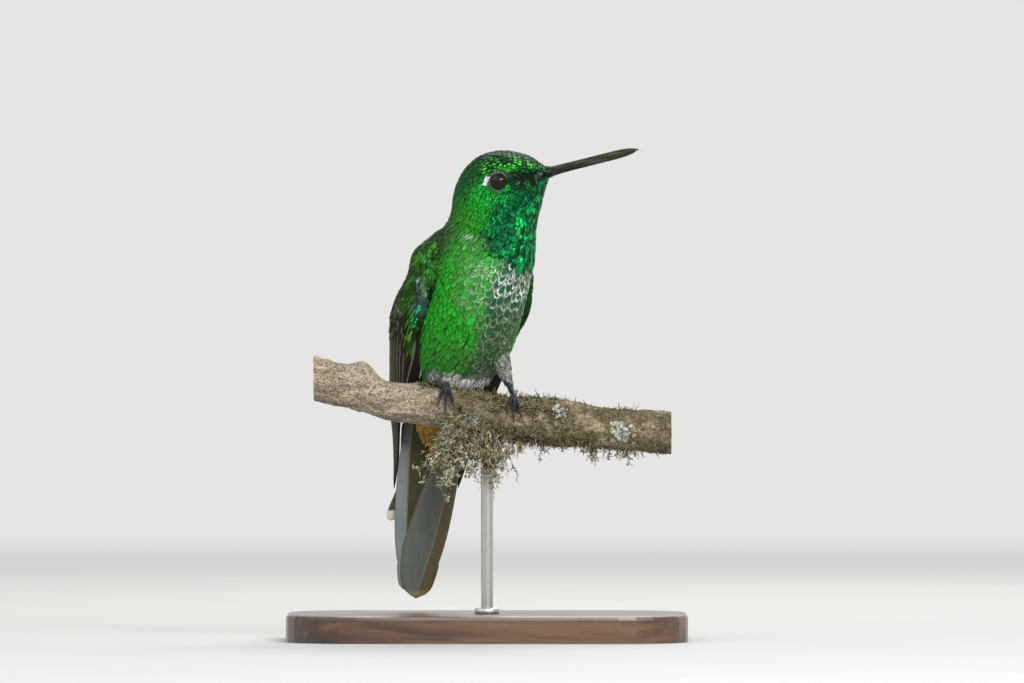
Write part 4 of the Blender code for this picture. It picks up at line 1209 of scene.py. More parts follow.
def wing_colours(p, q, tip, kind, sign):
    """Colours and gloss of the wing's coverts, and how far down the arm each one is."""
    n = len(p)
    fine = value_noise(np.stack((tip, q * 15, p * 0), -1), 1.4, 4 + sign)
    disc = blend(smooth(0.40, 0.70, fine), (0.018, 0.060, 0.009), (0.034, 0.150, 0.014))
    bright = smooth(0.045, 0.0, np.abs(q - np.interp(tip, (3, 6, 7.5, 9), (0.17, 0.09, 0.06, 0.09))) - 0.015)
    bright = bright * smooth(2.5, 4, tip) * smooth(9.0, 8.0, tip)
    disc = blend(bright * (0.2 + 0.6 * fine), disc, (0.010, 0.30, 0.045))
    # dark brown behind the green front
    front = np.interp(tip, (4, 8, 12, 14, 18, 24), (0.75, 0.50, 0.30, 0.22, 0.16, 0.11))
    back = smooth(-0.05, 0.05, q - front)
    pale = RNG.random(n) < 0.35 * smooth(9, 13, tip)
    brown = blend(smooth(0.4, 0.7, fine), (0.022, 0.025, 0.011), (0.040, 0.044, 0.020))
    brown = np.where(pale[:, None], np.array((0.110, 0.112, 0.062)), brown)
    disc = blend(back * 0.92, disc, brown)
    lower = smooth(10.5, 15.5, tip)
    dusky = blend(smooth(0.45, 0.7, fine), (0.014, 0.020, 0.008), (0.024, 0.062, 0.014))
    disc = blend(lower * 0.85 * (1 - back), disc, dusky)
    # the smooth blue-grey strip at the wrist, with a pale streak
    strip = q - wrist_strip(tip)
    wrist = smooth(0.065, 0.045, np.abs(strip)) * smooth(7.8, 8.8, tip) * smooth(15.2, 13.6, tip)
    wrist = wrist * (1.0 if sign < 0 else smooth(0.04, 0.08, q))
    disc = blend(wrist * 0.92, disc, blend(RNG.random(n), (0.050, 0.090, 0.092), (0.095, 0.150, 0.150)))
    streak = wrist * smooth(0.02, 0.008, np.abs(strip)) * smooth(11.5, 10.5, tip)
    disc = blend(streak, disc, (0.16, 0.31, 0.12))
    # painted shadow: coverts along the leading edge are near black on the right wing, for the shade between
    # wing and flank; dark green on the left wing
    leading_edge_dark = (0.006, 0.012, 0.006) if sign < 0 else (0.012, 0.075, 0.010)
    disc = blend(smooth(0.015, -0.03, q) * smooth(8, 11, tip) * 0.85, disc, leading_edge_dark)
    disc = blend(smooth(2.4, 0.6, tip) * 0.8, disc, MANTLE)
    for which, tone in ((3, (0.030, 0.24, 0.040)), (4, (0.125, 0.250, 0.035)), (5, (0.01, 0.44, 0.16))):
        disc = np.where((kind == which)[:, None], np.array(tone), disc)
    metal = 0.75 * (1 - wrist * 0.8) * (1 - 0.5 * lower) * (1 - 0.6 * back)
    return disc * glitter(n)[:, None], metal, lower


def build_wing_coverts(side, sign):
    """Coverts over the arm, from tiny ones at the shoulder to the long greater coverts."""

    # p runs down the wing in millimetres, q is the share of the chord
    def surface(p, q, lift):
        thick = arm_thickness(np.clip(p / 14, 0, 1)) * smooth(21, 14, p) + 0.55 * smooth(14, 21, p)
        wrap = CHORD * np.maximum(0, -q) + 5.2 * np.maximum(0, q - 1) + 1.3 * np.maximum(0, -p) ** 1.3
        over = thick / 2 * arm_edge(np.clip(q, 0, 1), q) + wing_puff(p, q, sign) + lift - wrap
        return wing(SHOULDER - p, np.clip(q, -0.03, 1.03), sign, over)

    ps, qs, gaps = [], [], []
    drop, row = -1.4, 0
    while drop < 15.0:
        gap = np.interp(drop, (0, 6, 11, 15), (0.52, 0.60, 0.85, 1.10))
        line = wing(SHOULDER - max(drop, 0), np.linspace(0, 1, 20), sign)
        count = max(4, int(np.linalg.norm(np.diff(line, axis=0), axis=-1).sum() / gap))
        front = int(2.6 / gap)
        at = (np.arange(-front, count) + 0.5 * (row % 2) + 0.15 * RNG.standard_normal(count + front)) / count
        count += front
        ps.append(drop + (0.10 + 0.03 * max(drop, 0)) * RNG.standard_normal(count))
        qs.append(np.clip(at, -0.5, 1.0))
        gaps.append(np.full(count, gap))
        drop += gap * 0.9
        row += 1
    p, q, gap = (np.concatenate(a) for a in (ps, qs, gaps))
    # the wrist's strip is left to its own sleek feathers
    bare = (np.abs(q - wrist_strip(p + 1.2)) < 0.045) & (p > 7.2) & (p < 12.4)
    p, q, gap = p[~bare], q[~bare], gap[~bare]
    length = gap * (3.0 + 1.2 * smooth(9, 14.5, p)) * (1 + 0.12 * RNG.standard_normal(len(p)))
    kinds = [(p, q, length, gap * 1.02)]
    # long narrow coverts reach down over the bases of the flight feathers, mostly near the leading edge
    n = 300
    reach, across = RNG.random(n), RNG.random(n) ** 1.3
    down = 8.6 + (2.0 + 7.6 * smooth(0.34, 0.10, across)) * reach
    kinds.append((down, across, 3.2 + 2.2 * RNG.random(n), 0.36 + 0.26 * RNG.random(n)))
    # sleek narrow feathers down the wrist's blue-grey strip
    down = 6.0 + 7.8 * RNG.random(n)
    across = wrist_strip(down + 1.5) + 0.07 * (RNG.random(n) - 0.5)
    kinds.append((down, across, 2.8 + 1.2 * RNG.random(n), np.full(n, 0.44)))
    # green and golden streaks below it, and a few emerald spots
    for n, top, reach, spread, *size in STREAKS:
        down = top + reach * RNG.random(n)
        across = 0.115 - 0.012 * (down - top) + spread * RNG.standard_normal(n)
        kinds.append((down, across, *(np.full(n, a) for a in size)))
    down, across, width = np.array(EMERALD_SPOTS).T
    kinds.append((down, across, np.full(len(down), 1.5), width))
    kind = np.concatenate([np.full(len(a[0]), k) for k, a in enumerate(kinds)])
    p, q, length, width = (np.concatenate(a) for a in zip(*kinds))
    high, near = SHOULDER - p.clip(0), q.clip(0)
    chord = np.linalg.norm(wing(high, near + 0.02, sign) - wing(high, near - 0.02, sign), axis=-1) / 0.04
    disc, metal, lower = wing_colours(p, q, p + 0.7 * length, kind, sign)
    lie = np.where(kind == 2, -0.22, np.where(kind == 4, -0.03, 0.06))
    lie = lie + 0.08 * RNG.standard_normal(len(p)) * (kind != 4)
    coat(
        f"coat_wing_{side}", surface, p, q, 1.0, np.maximum(chord, 3.0), length, width, lie,
        np.minimum(-0.12 * length, -0.15),
        0.05 + 0.05 * RNG.random(len(p)) + 0.10 * lower + 0.10 * (kind >= 3),
        (disc, disc * 0.6, 0.12, metal), np.stack((0.02 + 0.62 * (q + 0.5), 0.12 + 0.035 * p), -1),
    )


def build_wing_root(side, sign):
    """Scapular feathers over the hollow between the wing's rear edge and the back."""
    down = np.linspace(-0.5, 15.0, 32)
    hollow = gap_to_body(ARM_TOP - down, np.full(32, 0.97), sign) + 0.25

    # p runs down in millimetres, q from the wing's edge (0) to the body (1)
    def surface(p, q, lift):
        high = ARM_TOP - np.clip(p, -0.5, 22)
        edge = wing(high, 0.955, sign, -np.clip(q, -0.15, 1.1) * np.interp(p, down, hollow))
        behind = unit(wing(high, 1.0, sign) - wing(high, 0.9, sign))
        return edge + behind * (lift + 0.35)[..., None]

    row, place = (a.ravel() for a in mesh_of(np.arange(20), np.arange(9)))
    n = len(row)
    p = 0.75 * row + 0.12 * RNG.standard_normal(n)
    q = (place + 0.5 * (row % 2)) / 8.5 + 0.015 * RNG.standard_normal(n)
    fine = value_noise(np.stack((p, q * 5, p * 0), -1), 1.4, 14 + sign)
    disc = blend(smooth(0.40, 0.70, fine), np.array(BACK) * 0.8, MANTLE)
    disc = blend(smooth(7.0, 2.0, p) * 0.8, disc, MANTLE) * glitter(n)[:, None]
    coat(
        f"coat_scapulars_{side}", surface, p, q, 1.0, np.maximum(np.interp(p, down, hollow), 1.2),
        2.9 + 0.5 * RNG.random(n), 0.9 + 0.25 * RNG.random(n), 0.10 * RNG.standard_normal(n), -0.25,
        0.10 + 0.08 * RNG.random(n), (disc, disc * 0.6, 0.14, 0.5),
        np.stack((0.02 + 0.06 * q, 0.12 + 0.035 * p), -1),
    )


# TAIL_BLUE and TAIL_PALE hold a grey-blue sheen painted into the outermost feathers' outer vanes; TAIL_DARK
# is painted shade, on the right outermost feather's inner vane and on one vane of each inner feather in the
# tail's shaded middle
TAIL_BLUE, TAIL_PALE, TAIL_MID = (0.115, 0.131, 0.114), (0.212, 0.250, 0.243), (0.080, 0.085, 0.060)
TAIL_DARK, TAIL_BROWN = (0.064, 0.062, 0.027), (0.100, 0.088, 0.042)


def tail_overlap(z):
    """Where the inner edge of the left outermost feather crosses the tail."""
    heights = (7.5, 9.5, 12.1, 14.2, 16.9, 18.8, 20.8, 23.0, 26.1, 29.2, 31.7, 33.0)
    return -np.interp(z, heights, (0.9, 2.6, 3.4, 3.56, 3.62, 3.42, 2.94, 2.49, 1.82, 0.91, 0.28, 0.0))


OUTER_SHAFTS = {
    # heights, and the shaft's distance from the tail's middle there
    1: ((7.5, 13.2, 16.6, 20.8, 25.9, 34.0, 41.0), (0.10, 1.09, 1.92, 2.65, 3.38, 3.7, 3.0)),
    -1: ((9.6, 13.2, 19.0, 22.7, 31.7, 40.0, 42.0), (-1.0, -2.35, -3.1, -3.45, -4.3, -4.75, -4.4)),
}
# kind, layer, tip, place of its middle as a share of the half width, half width of the vane, how pale the tip
INNER_FEATHERS = (("fourth", 0.75, 12.2, 0.60, 2.1, 0.15), ("third", 1.2, 15.6, 0.50, 2.1, 0.2))
CENTRAL_FEATHERS = (("second", 1.75, 20.4, 0.46, 1.9, 0.95), ("central", 2.2, FORK_END, 0.30, 1.35, 1.0))
CENTRAL_FAN = {1: 1.2, -1: 3.9}


def outer_feather(z, u, half, sign):
    """Edges, shaft and taper of an outermost tail feather at heights z."""
    blunt = np.interp(z, (7.5, 8.4, 9.35, 10.3, 12, 14), (2.0, 2.55, 3.1, 3.4, 3.8, 4.1))
    half = np.where(z < 14, np.maximum(half, blunt), half)
    if sign < 0:
        broad = np.interp(z, (35, 37, 40, 41.5), (5.9, 6.1, 6.3, 4.6))
        half = np.where(z > 35, np.maximum(half, broad), half)
    inner = tail_overlap(z) if sign > 0 else np.minimum(tail_overlap(z) + 1.8, 0.6)
    return inner, half * sign, np.interp(z, *OUTER_SHAFTS[sign]), rounded(u, 0.945, 0.055)


def inner_feather(z, u, half, sign, kind, tip, place, wide):
    """Edges, shaft and taper of a tail feather behind the outermost."""
    share = np.clip((TAIL_TOP - z) / (TAIL_TOP - tip), 0, 1)
    middle = sign * (half * place + (CENTRAL_FAN[sign] if kind == "central" else 0.0) * share**1.5)
    wide = wide * np.interp(u, (0, 0.2, 0.8, 1), (0.6, 0.95, 1.0, 0.9))
    outer = middle + sign * wide
    if kind != "central":
        outer = sign * np.minimum(np.abs(outer), half * 0.97)
    return middle - sign * wide, outer, middle, rounded(u, 0.9, 0.1)


def build_tail():
    """Ten tail feathers: the two outermost in front, the white-tipped inner ones behind and shorter."""
    u = np.linspace(0, 1, 48)
    for sign, side_name in ((1, "left"), (-1, "right")):
        outermost = (("outer", -0.28 if sign > 0 else 0.0, 7.5 if sign > 0 else 8.7, 0, 0, 0.3),)
        for part, feathers in (("outer", outermost), ("middle", INNER_FEATHERS), ("inner", CENTRAL_FEATHERS)):
            pile = Pile()
            for index, (kind, layer, tip, place, wide, pale) in enumerate(feathers):
                z = TAIL_ROOT + (tip - TAIL_ROOT) * u
                half = tail_half_width(np.minimum(z, TAIL_TOP))
                half = half * np.interp(z, (TAIL_TOP, TAIL_ROOT), (1.0, 0.75))
                if kind == "outer":
                    inner, outer, shaft, taper = outer_feather(z, u, half, sign)
                    # outer vane with painted sheen; on the right feather the dark inner vane is painted shade
                    disc, rim = (TAIL_BLUE, TAIL_BROWN) if sign > 0 else (TAIL_PALE, TAIL_DARK)
                else:
                    inner, outer, shaft, taper = inner_feather(z, u, half, sign, kind, tip, place, wide)
                    disc, rim = TAIL_MID, TAIL_DARK
                low, high = np.minimum(inner, outer), np.maximum(inner, outer)
                side, arch = across_shaft(low, np.clip(shaft, low + 0.15, high - 0.15), high, taper)
                arch = 0.16 * arch - 0.10 * smooth(0.8, 1.0, u)[:, None]
                grid = tail(z[:, None], side, layer - arch / TAIL_STEP)
                blade(pile, grid, forward(TAIL_YAW), 0.12, (index, len(feathers)), disc, rim, 0.1, 0.6, pale)
            pile.build(f"rectrices_{part}_{side_name}", FLIGHT, nodes=(f"tail_{part}_{side_name}",))


# ---------------------------------------------------------------- build: head parts


def horn_look():
    look = Look("bill_horn", 0.42, specular=0.22)
    streak = look.noise(900.0, 4.0, 0.6, stretch=(0.12, 1, 1))
    fine = look.noise(5000.0, 2.0, 0.5, stretch=(0.2, 1, 1))
    colour = look.mix(look.map(streak, 0.35, 0.7), (0.010, 0.009, 0.006), (0.045, 0.042, 0.022))
    colour = look.mix(look.value("pale") * 0.8, colour, (0.085, 0.085, 0.065))
    return look.finish(colour, streak + fine * 0.4, 0.00008)


def build_eyes():
    """Eyeballs with a slight corneal bulge, and round each a fold of lid and a beaded rim."""
    iris, lid_skin = (1500.0, 3.0, 0.6), (3800.0, 3.0, 0.6)
    iris_tones = ((0.004, 0.003, 0.002), (0.014, 0.008, 0.004))
    lid_tones = ((0.020, 0.024, 0.022), (0.105, 0.115, 0.105))
    eye = mottled_look("eye_gloss", 0.05, iris, (0.4, 0.7), *iris_tones, specular=0.24)
    lid = mottled_look("eyelid", 0.5, lid_skin, (0.35, 0.65), *lid_tones, relief=0.00006)
    ahead = forward(HEAD_YAW)
    la, lo = mesh_of(np.linspace(0, np.pi, 33), np.linspace(0, 2 * np.pi, 64, endpoint=False))
    radius = EYE_RADIUS * (1 + 0.012 * np.exp(-((la / 0.55) ** 2)) - 0.012)
    la, lo = la[..., None], lo[..., None]
    count, sides = 72, 8
    turns, turn = round_turns(count), round_turns(sides)[None, :, None]
    loops = grid_faces(count, sides, wrap=True, loop=True)
    beads = 0.5 + 0.5 * np.cos(turns * 30)
    rim = 1.66
    lids = (  # radius, thickness and height above the eye's middle
        (rim, 0.13 + 0.035 * beads, math.sqrt(EYE_RADIUS**2 - rim**2) + 0.02 + turns * 0),
        (1.90, 0.17 + 0.03 * beads, 0.78 + 0.10 * np.cos(turns)),
    )
    for sign, side in ((1, "left"), (-1, "right")):
        centre, outward = EYES[sign], leftward(HEAD_YAW) * sign
        ball = np.cos(la) * outward + np.sin(la) * (np.cos(lo) * ahead + np.sin(lo) * UP)
        points = centre + radius[..., None] * ball
        new_mesh(f"eyeball_{side}", points, grid_faces(33, 64, wrap=True), eye, nodes=(f"eye_{side}",))
        pile = Pile()
        for size, thick, height in lids:
            ring = np.cos(turns)[:, None] * ahead * 1.04 + np.sin(turns)[:, None] * UP * 0.97
            ring = centre + ring * size + outward * height[:, None]
            around = np.roll(ring, -1, 0) - np.roll(ring, 1, 0)
            radial = unit(ring - centre - outward * ((ring - centre) @ outward)[:, None])
            normal = unit(np.cross(unit(around), radial))
            spokes = np.cos(turn) * radial[:, None] + np.sin(turn) * normal[:, None]
            pile.add(ring[:, None] + thick[:, None, None] * spokes, loops)
        pile.build(f"eyelids_{side}", lid)


def build_bill():
    """The bill's two halves, each with a flat inner face, and the tongue's tip just out of it."""
    look = horn_look()
    root, ahead, left, up = bill_frame()
    shares = np.linspace(-0.13, 0, 8)[:-1], np.linspace(0, 0.85, 34), np.linspace(0.87, 1.0, 16)
    shares = np.concatenate(shares)
    turns = np.linspace(0, np.pi, 22)
    c, s = np.cos(turns), np.sin(turns)
    flare = np.exp(-np.maximum(shares, 0) / 0.07)
    tip = np.sqrt(np.maximum(0.0, 1 - np.maximum(0.0, (shares - 0.72) / 0.28) ** 2.2))
    width = (0.78 + 0.42 * flare) * np.maximum(tip, 0.15) * np.where(shares < 0, 1 - shares * 4.0, 1)
    # the cutting edge is drawn in to a fine line, and a groove runs back to the nostril
    groove = 1.0
    for at in (0.42, np.pi - 0.42):
        deep = 0.10 * np.exp(-(((turns - at) / 0.16) ** 2))
        groove = groove * (1 - deep * smooth(0.45, 0.0, shares)[:, None])
    pale = np.append(smooth(0.75, 0.2, s), np.zeros(5)) * smooth(0.10, -0.02, shares)[:, None]
    floats = {"pale": np.append(pale, (0, 0))}
    for name, outward, length, shaft, hook in (
        ("bill_upper", up, BILL_LENGTH, 0.88, 0.10),
        ("bill_lower", -up, BILL_LENGTH - 0.5, 0.72, 0.0),
    ):
        height = (shaft + (1.05 - shaft) * flare) * np.maximum(tip, 0.12)
        height = height * np.where(shares < 0, 1 + shares * 2.2, 1)
        base = root + outward * 0.02 + ahead * (length * shares)[:, None]
        base = (base - up * (hook * smooth(0.9, 1.0, shares))[:, None])[:, None]
        arc = base + left * (c * width[:, None] * groove)[..., None]
        arc = arc + outward * (s**0.9 * height[:, None] * groove)[..., None]
        flat = base + left * (np.linspace(-0.8, 0.8, 5) * width[:, None])[..., None]
        points, quads, fans = closed_rings(np.concatenate((arc, flat), axis=1))
        new_mesh(f"{name}_horn", points, [quads, fans], look, floats=floats, nodes=(name,))
    pile = Pile()
    for fork in (-1, 1):
        share = np.linspace(0, 1, 10)
        path = root + ahead * (BILL_LENGTH - 1.5 + 3.1 * share)[:, None]
        path = path + left * (fork * (0.05 + 0.07 * share**2))[:, None] - up * (0.05 + 0.03 * share)[:, None]
        add_tube(pile, path, 0.11 * (1 - 0.75 * share), 8)
    wet = mottled_look("tongue", 0.35, (3000.0, 2.0), (0.3, 0.7), (0.42, 0.36, 0.26), (0.62, 0.55, 0.44))
    pile.build("tongue", wet)


# ---------------------------------------------------------------- build: feet

LEFT_FOOT_X, RIGHT_FOOT_X = 5.1, -7.5
LEGS = {
    # ankle, the foot's place along and round the branch, reach of the hind toe, drift and reach of the others
    1: ((3.9, -4.6, 47.9), LEFT_FOOT_X, 36, 80, ((-1.5, 50), (-0.2, 70), (1.3, 58))),
    -1: ((-10.2, -6.3, 48.0), RIGHT_FOOT_X, 38, 56, ((-1.7, 62), (-0.2, 80), (1.7, 66))),
}


def foot_look():
    look = Look("foot_scales", 0.20)
    scute = look.math("SINE", look.vane()[0] * 95.0)
    mottle = look.noise(2500.0, 3.0, 0.6)
    colour = look.mix(look.map(mottle, 0.35, 0.7), (0.005, 0.006, 0.009), (0.052, 0.062, 0.080))
    return look.finish(colour, scute * 0.8 + mottle, 0.00010)


def add_toe(pile, path, radii):
    """A tube whose vane coordinates carry the scales along it."""
    sides = 12
    u, v = mesh_of(np.linspace(0, 1, len(path)), np.linspace(-1, 1, sides))
    vane = np.concatenate((np.stack((u, v), -1).reshape(-1, 2), ((0, 0), (1, 0))))
    add_tube(pile, path, radii, sides, Vane=vane)


def build_feet():
    """Scaly shanks and toes gripping the branch, three in front and one behind, and their claws."""
    scales, streaks = foot_look(), (3000.0, 2.0, 0.5, (1, 1, 0.3))
    horn = mottled_look("claws", 0.22, streaks, (0.3, 0.7), (0.010, 0.010, 0.010), (0.050, 0.046, 0.040))
    for sign, (ankle, foot_x, foot_angle, hind, toes) in LEGS.items():
        side = "left" if sign > 0 else "right"
        toe_pile, claw_pile = Pile(), Pile()
        pad = perch(foot_x, foot_angle, 0.75)
        down = unit(pad - ankle)
        s = np.linspace(0, 1, 16)
        shank = ankle - down * 0.2 + (pad - ankle + down * 0.4) * s[:, None]
        add_toe(toe_pile, shank, 0.44 + 0.10 * np.cos(2 * np.pi * s) ** 2 + 0.02 * np.sin(s * 60))
        s = np.linspace(0, 1, 40)
        toe, claw = s <= 0.66, s >= 0.60
        hump = 0.28 * np.sin(np.pi * np.minimum(1.0, s * 1.15)) + 0.1
        joints = 1 + 0.16 * np.cos(2 * np.pi * s * 3.3 + 0.6) ** 4 + 0.04 * np.sin(s * 120)
        thick = 0.345 * joints * np.interp(s, (0, 0.1, 0.66), (0.95, 1.0, 0.82))
        sharp = 0.24 * np.interp(s, (0.6, 0.75, 1.0), (1.0, 0.85, 0.20))
        for drift, length in (*toes, (0.3, -hind)):
            start = foot_angle + (8 if length < 0 else -6)
            centre = perch(foot_x + drift * s**0.8, start + length * s, 0.62 + hump)
            add_toe(toe_pile, centre[toe], thick[toe])
            add_toe(claw_pile, centre[claw], sharp[claw])
        toe_pile.build(f"toes_{side}", scales, nodes=(f"foot_{side}",))
        claw_pile.build(f"claws_{side}", horn)


# ---------------------------------------------------------------- build: perch, moss and stand


def bark_look():
    look = Look("bark", 0.86, specular=0.25)
    grain = look.noise(420.0, 6.0, 0.70, stretch=(0.30, 1, 1), distortion=0.6)
    patch = look.noise(130.0, 4.0, 0.6)
    speck = look.noise(3300.0, 4.0, 0.75, stretch=(0.6, 1, 1))
    crust = look.noise(1500.0, 5.0, 0.75)
    damp = look.value("damp") * look.map(crust, 0.40, 0.58, 0.45, 1.0)
    colour = look.mix(look.map(grain, 0.34, 0.66), (0.265, 0.198, 0.140), (0.68, 0.55, 0.40))
    for share, tone in (
        (look.map(patch, 0.54, 0.68) * 0.5, (0.60, 0.52, 0.40)),
        (look.map(crust, 0.50, 0.62) * 0.45, (0.68, 0.60, 0.45)),
        (look.map(speck, 0.47, 0.57) * 0.80, (0.090, 0.066, 0.044)),
        (damp * 0.42, (0.185, 0.120, 0.055)),
        (look.map(look.noise(260.0, 5.0, 0.7), 0.40, 0.54) * damp, (0.100, 0.076, 0.030)),
    ):
        colour = look.mix(share, colour, tone)
    pith = look.value("pith")
    ring = look.math("MULTIPLY_ADD", look.math("SINE", pith * 44.0 + patch * 6.0), 0.5, 0.5)
    wood = look.mix(ring, (0.42, 0.29, 0.16), (0.56, 0.42, 0.26))
    wood = look.mix(look.map(pith, 0.78, 0.88), wood, (0.16, 0.10, 0.06))
    return look.finish(look.mix(look.value("cut"), colour, wood), grain + crust + speck * 0.6, 0.0005)


def moss_look(name, dark, light):
    look = Look(name, 0.8, specular=0.2)
    tone = look.noise(1100.0, 4.0, 0.75)
    return look.finish(look.mix(look.map(tone, 0.38, 0.66), dark, light), look.noise(3500.0, 2.0), 0.00008)


def strands(pile, roots, directions, lengths, radii, droop, curl, segments):
    """Many thin tapering four-sided twigs at once, each wandering a little and sagging by droop."""
    n, rows = len(roots), segments + 1
    s = np.linspace(0, 1, rows)
    wander = np.cumsum(RNG.standard_normal((n, rows, 3)), axis=1) * curl
    path = roots[:, None] + directions[:, None] * (lengths[:, None] * s)[..., None]
    path = path + (wander - wander[:, :1]) * (lengths[:, None, None] / segments)
    path[..., 2] -= droop * lengths[:, None] * s**2
    along = unit(np.gradient(path, axis=1))
    side = unit(np.cross(along, np.array((0.31, 0.44, 0.84))))
    turns = np.pi / 2 * np.arange(4)[:, None]
    spokes = np.cos(turns) * side[:, :, None] + np.sin(turns) * np.cross(along, side)[:, :, None]
    rings = path[:, :, None] + (radii[:, None] * (1 - 0.8 * s))[..., None, None] * spokes
    caps = np.array(((3, 2, 1, 0), segments * 4 + np.arange(4)))
    pile.add(rings, repeated(np.concatenate((grid_faces(rows, 4, wrap=True), caps)), n, rows * 4))
    return path


BARK_LUMPS = ((0.50, 0.9, 1), (0.30, 0.4, 2), (0.45, 2.4, 6))  # height, size and seed
TANGLES = (
    # x, angle, how far it hangs, spread, drift, twigs, side twigs for each
    (-9.4, 118, 2.4, 0.3, 0.0, 4, 5),
    (-7.3, 120, 5.0, 0.3, 0.0, 8, 8),
    (-6.6, 121, 13.8, 0.35, -0.08, 15, 13),
    (-6.3, 122, 10.8, 0.35, -0.36, 14, 14),
    (-6.0, 124, 11.0, 0.35, -0.24, 14, 13),
    (-5.5, 127, 9.0, 0.35, -0.10, 12, 10),
    (-4.8, 134, 5.0, 0.5, 0.0, 9, 8),
    (-3.5, 140, 2.4, 0.8, 0.0, 9, 8),
    (-2.0, 144, 5.0, 0.6, 0.0, 10, 8),
    (-0.8, 147, 8.6, 0.5, -0.45, 7, 8),
    (-0.6, 147, 9.0, 0.6, -0.12, 13, 11),
    (0.5, 151, 11.0, 0.6, -0.04, 14, 12),
    (1.6, 156, 9.0, 0.7, 0.06, 11, 9),
    (0.9, 150, 15.0, 0.3, -0.10, 2, 5),
    (2.9, 160, 5.0, 0.8, 0.0, 8, 7),
    (6.0, 170, 3.4, 1.6, 0.0, 8, 6),
    (11.0, 175, 2.6, 1.8, 0.0, 8, 5),
    (18.5, 177, 2.6, 1.6, 0.0, 8, 5),
    (22.5, 178, 3.6, 1.5, 0.0, 9, 6),
    (26.0, 178, 2.6, 1.2, 0.0, 7, 5),
)


def round_branch(x, angle):
    """Points on a plain cylinder along the branch, to read noise at."""
    return np.stack((x, 4 * np.cos(np.radians(angle)), 4 * np.sin(np.radians(angle))), -1)


def build_perch():
    """The barked branch, smoother under the feet, with its ends cut across."""
    rows, columns = 260, 96
    around = np.linspace(0, 360, columns, endpoint=False)
    x, angle = mesh_of(np.linspace(PERCH_START, PERCH_END, rows), around)
    place = round_branch(x * 0.35, angle)
    rough = sum(size * (value_noise(place, scale, seed) - 0.5) for size, scale, seed in BARK_LUMPS)
    under_feet = sum(np.exp(-(((x - foot) / 3.2) ** 2)) for foot in (LEFT_FOOT_X, RIGHT_FOOT_X))
    rough = np.minimum(rough, 0.12 + 0.4 * (1 - np.clip(under_feet, 0, 1)))
    points = perch(x, angle, rough)

    def cut_end(rim, out):
        """Rings from the cut's rim towards the pith."""
        centre, steps = rim.mean(0), ((0.985, 0), (0.6, out), (0.25, out))
        return [centre + (rim - centre) * share + (step, 0, 0) for share, step in steps]

    rings = np.array((*cut_end(points[0], -0.02)[::-1], *points, *cut_end(points[-1], 0.02)))
    points, quads, fans = closed_rings(rings)
    cut = np.zeros(len(points))
    cut[: 3 * columns] = cut[(rows + 3) * columns :] = 1.0
    height, half = perch_section(points[:, 0])
    pith = np.hypot(points[:, 1] - PERCH_Y, points[:, 2] - height) / half
    floats = {"damp": smooth(-9.0, -3.5, points[:, 0]), "cut": cut, "pith": pith}
    new_mesh("branch", points, [quads, fans], bark_look(), floats=floats, nodes=("perch",))


def build_moss():
    """A mat of short curly twigs, dense from under the bird to the right."""
    pile = Pile()
    n = 10000
    x = np.where(RNG.random(n) < 0.60, -11.0 + 26.0 * RNG.random(n), RNG.random(n) * 64 - 31.0)
    angle = RNG.random(n) * 360
    around = round_branch(x, angle)
    patch = value_noise(around, 3.2, 9) * 0.6 + value_noise(around, 1.2, 4) * 0.4
    need = np.interp(x, (-31, -13, -8, -3, 9, 14, 20, 33), (0.74, 0.66, 0.40, 0.28, 0.30, 0.40, 0.50, 0.55))
    top = np.abs((angle + 180) % 360 - 180)
    need = need + np.where((x < -2) & (top > 40) & (angle < 180), 0.05, 0.0)
    keep = (patch > need) & (x < 33.4)
    for foot_x, reach in ((LEFT_FOOT_X, 1.9), (RIGHT_FOOT_X, 2.1)):
        keep &= ~((np.abs(x - foot_x) < reach) & (angle > 5) & (angle < 110) & (RNG.random(n) < 0.93))
    x, angle = x[keep], angle[keep]
    root, n = perch(x, angle, -0.15), len(x)
    outward = unit(perch(x, angle, 1.0) - perch(x, angle, 0.0))
    direction = unit(outward * 0.8 + RNG.standard_normal((n, 3)))
    length = 0.35 + 0.5 * RNG.random(n) + 0.9 * (RNG.random(n) < 0.05) * smooth(14, 4, x)
    strands(pile, root, direction, length, 0.10 + 0.08 * RNG.random(n), 0.1, 0.9, 3)
    pile.build("moss", moss_look("moss", (0.036, 0.027, 0.011), (0.36, 0.30, 0.150)))


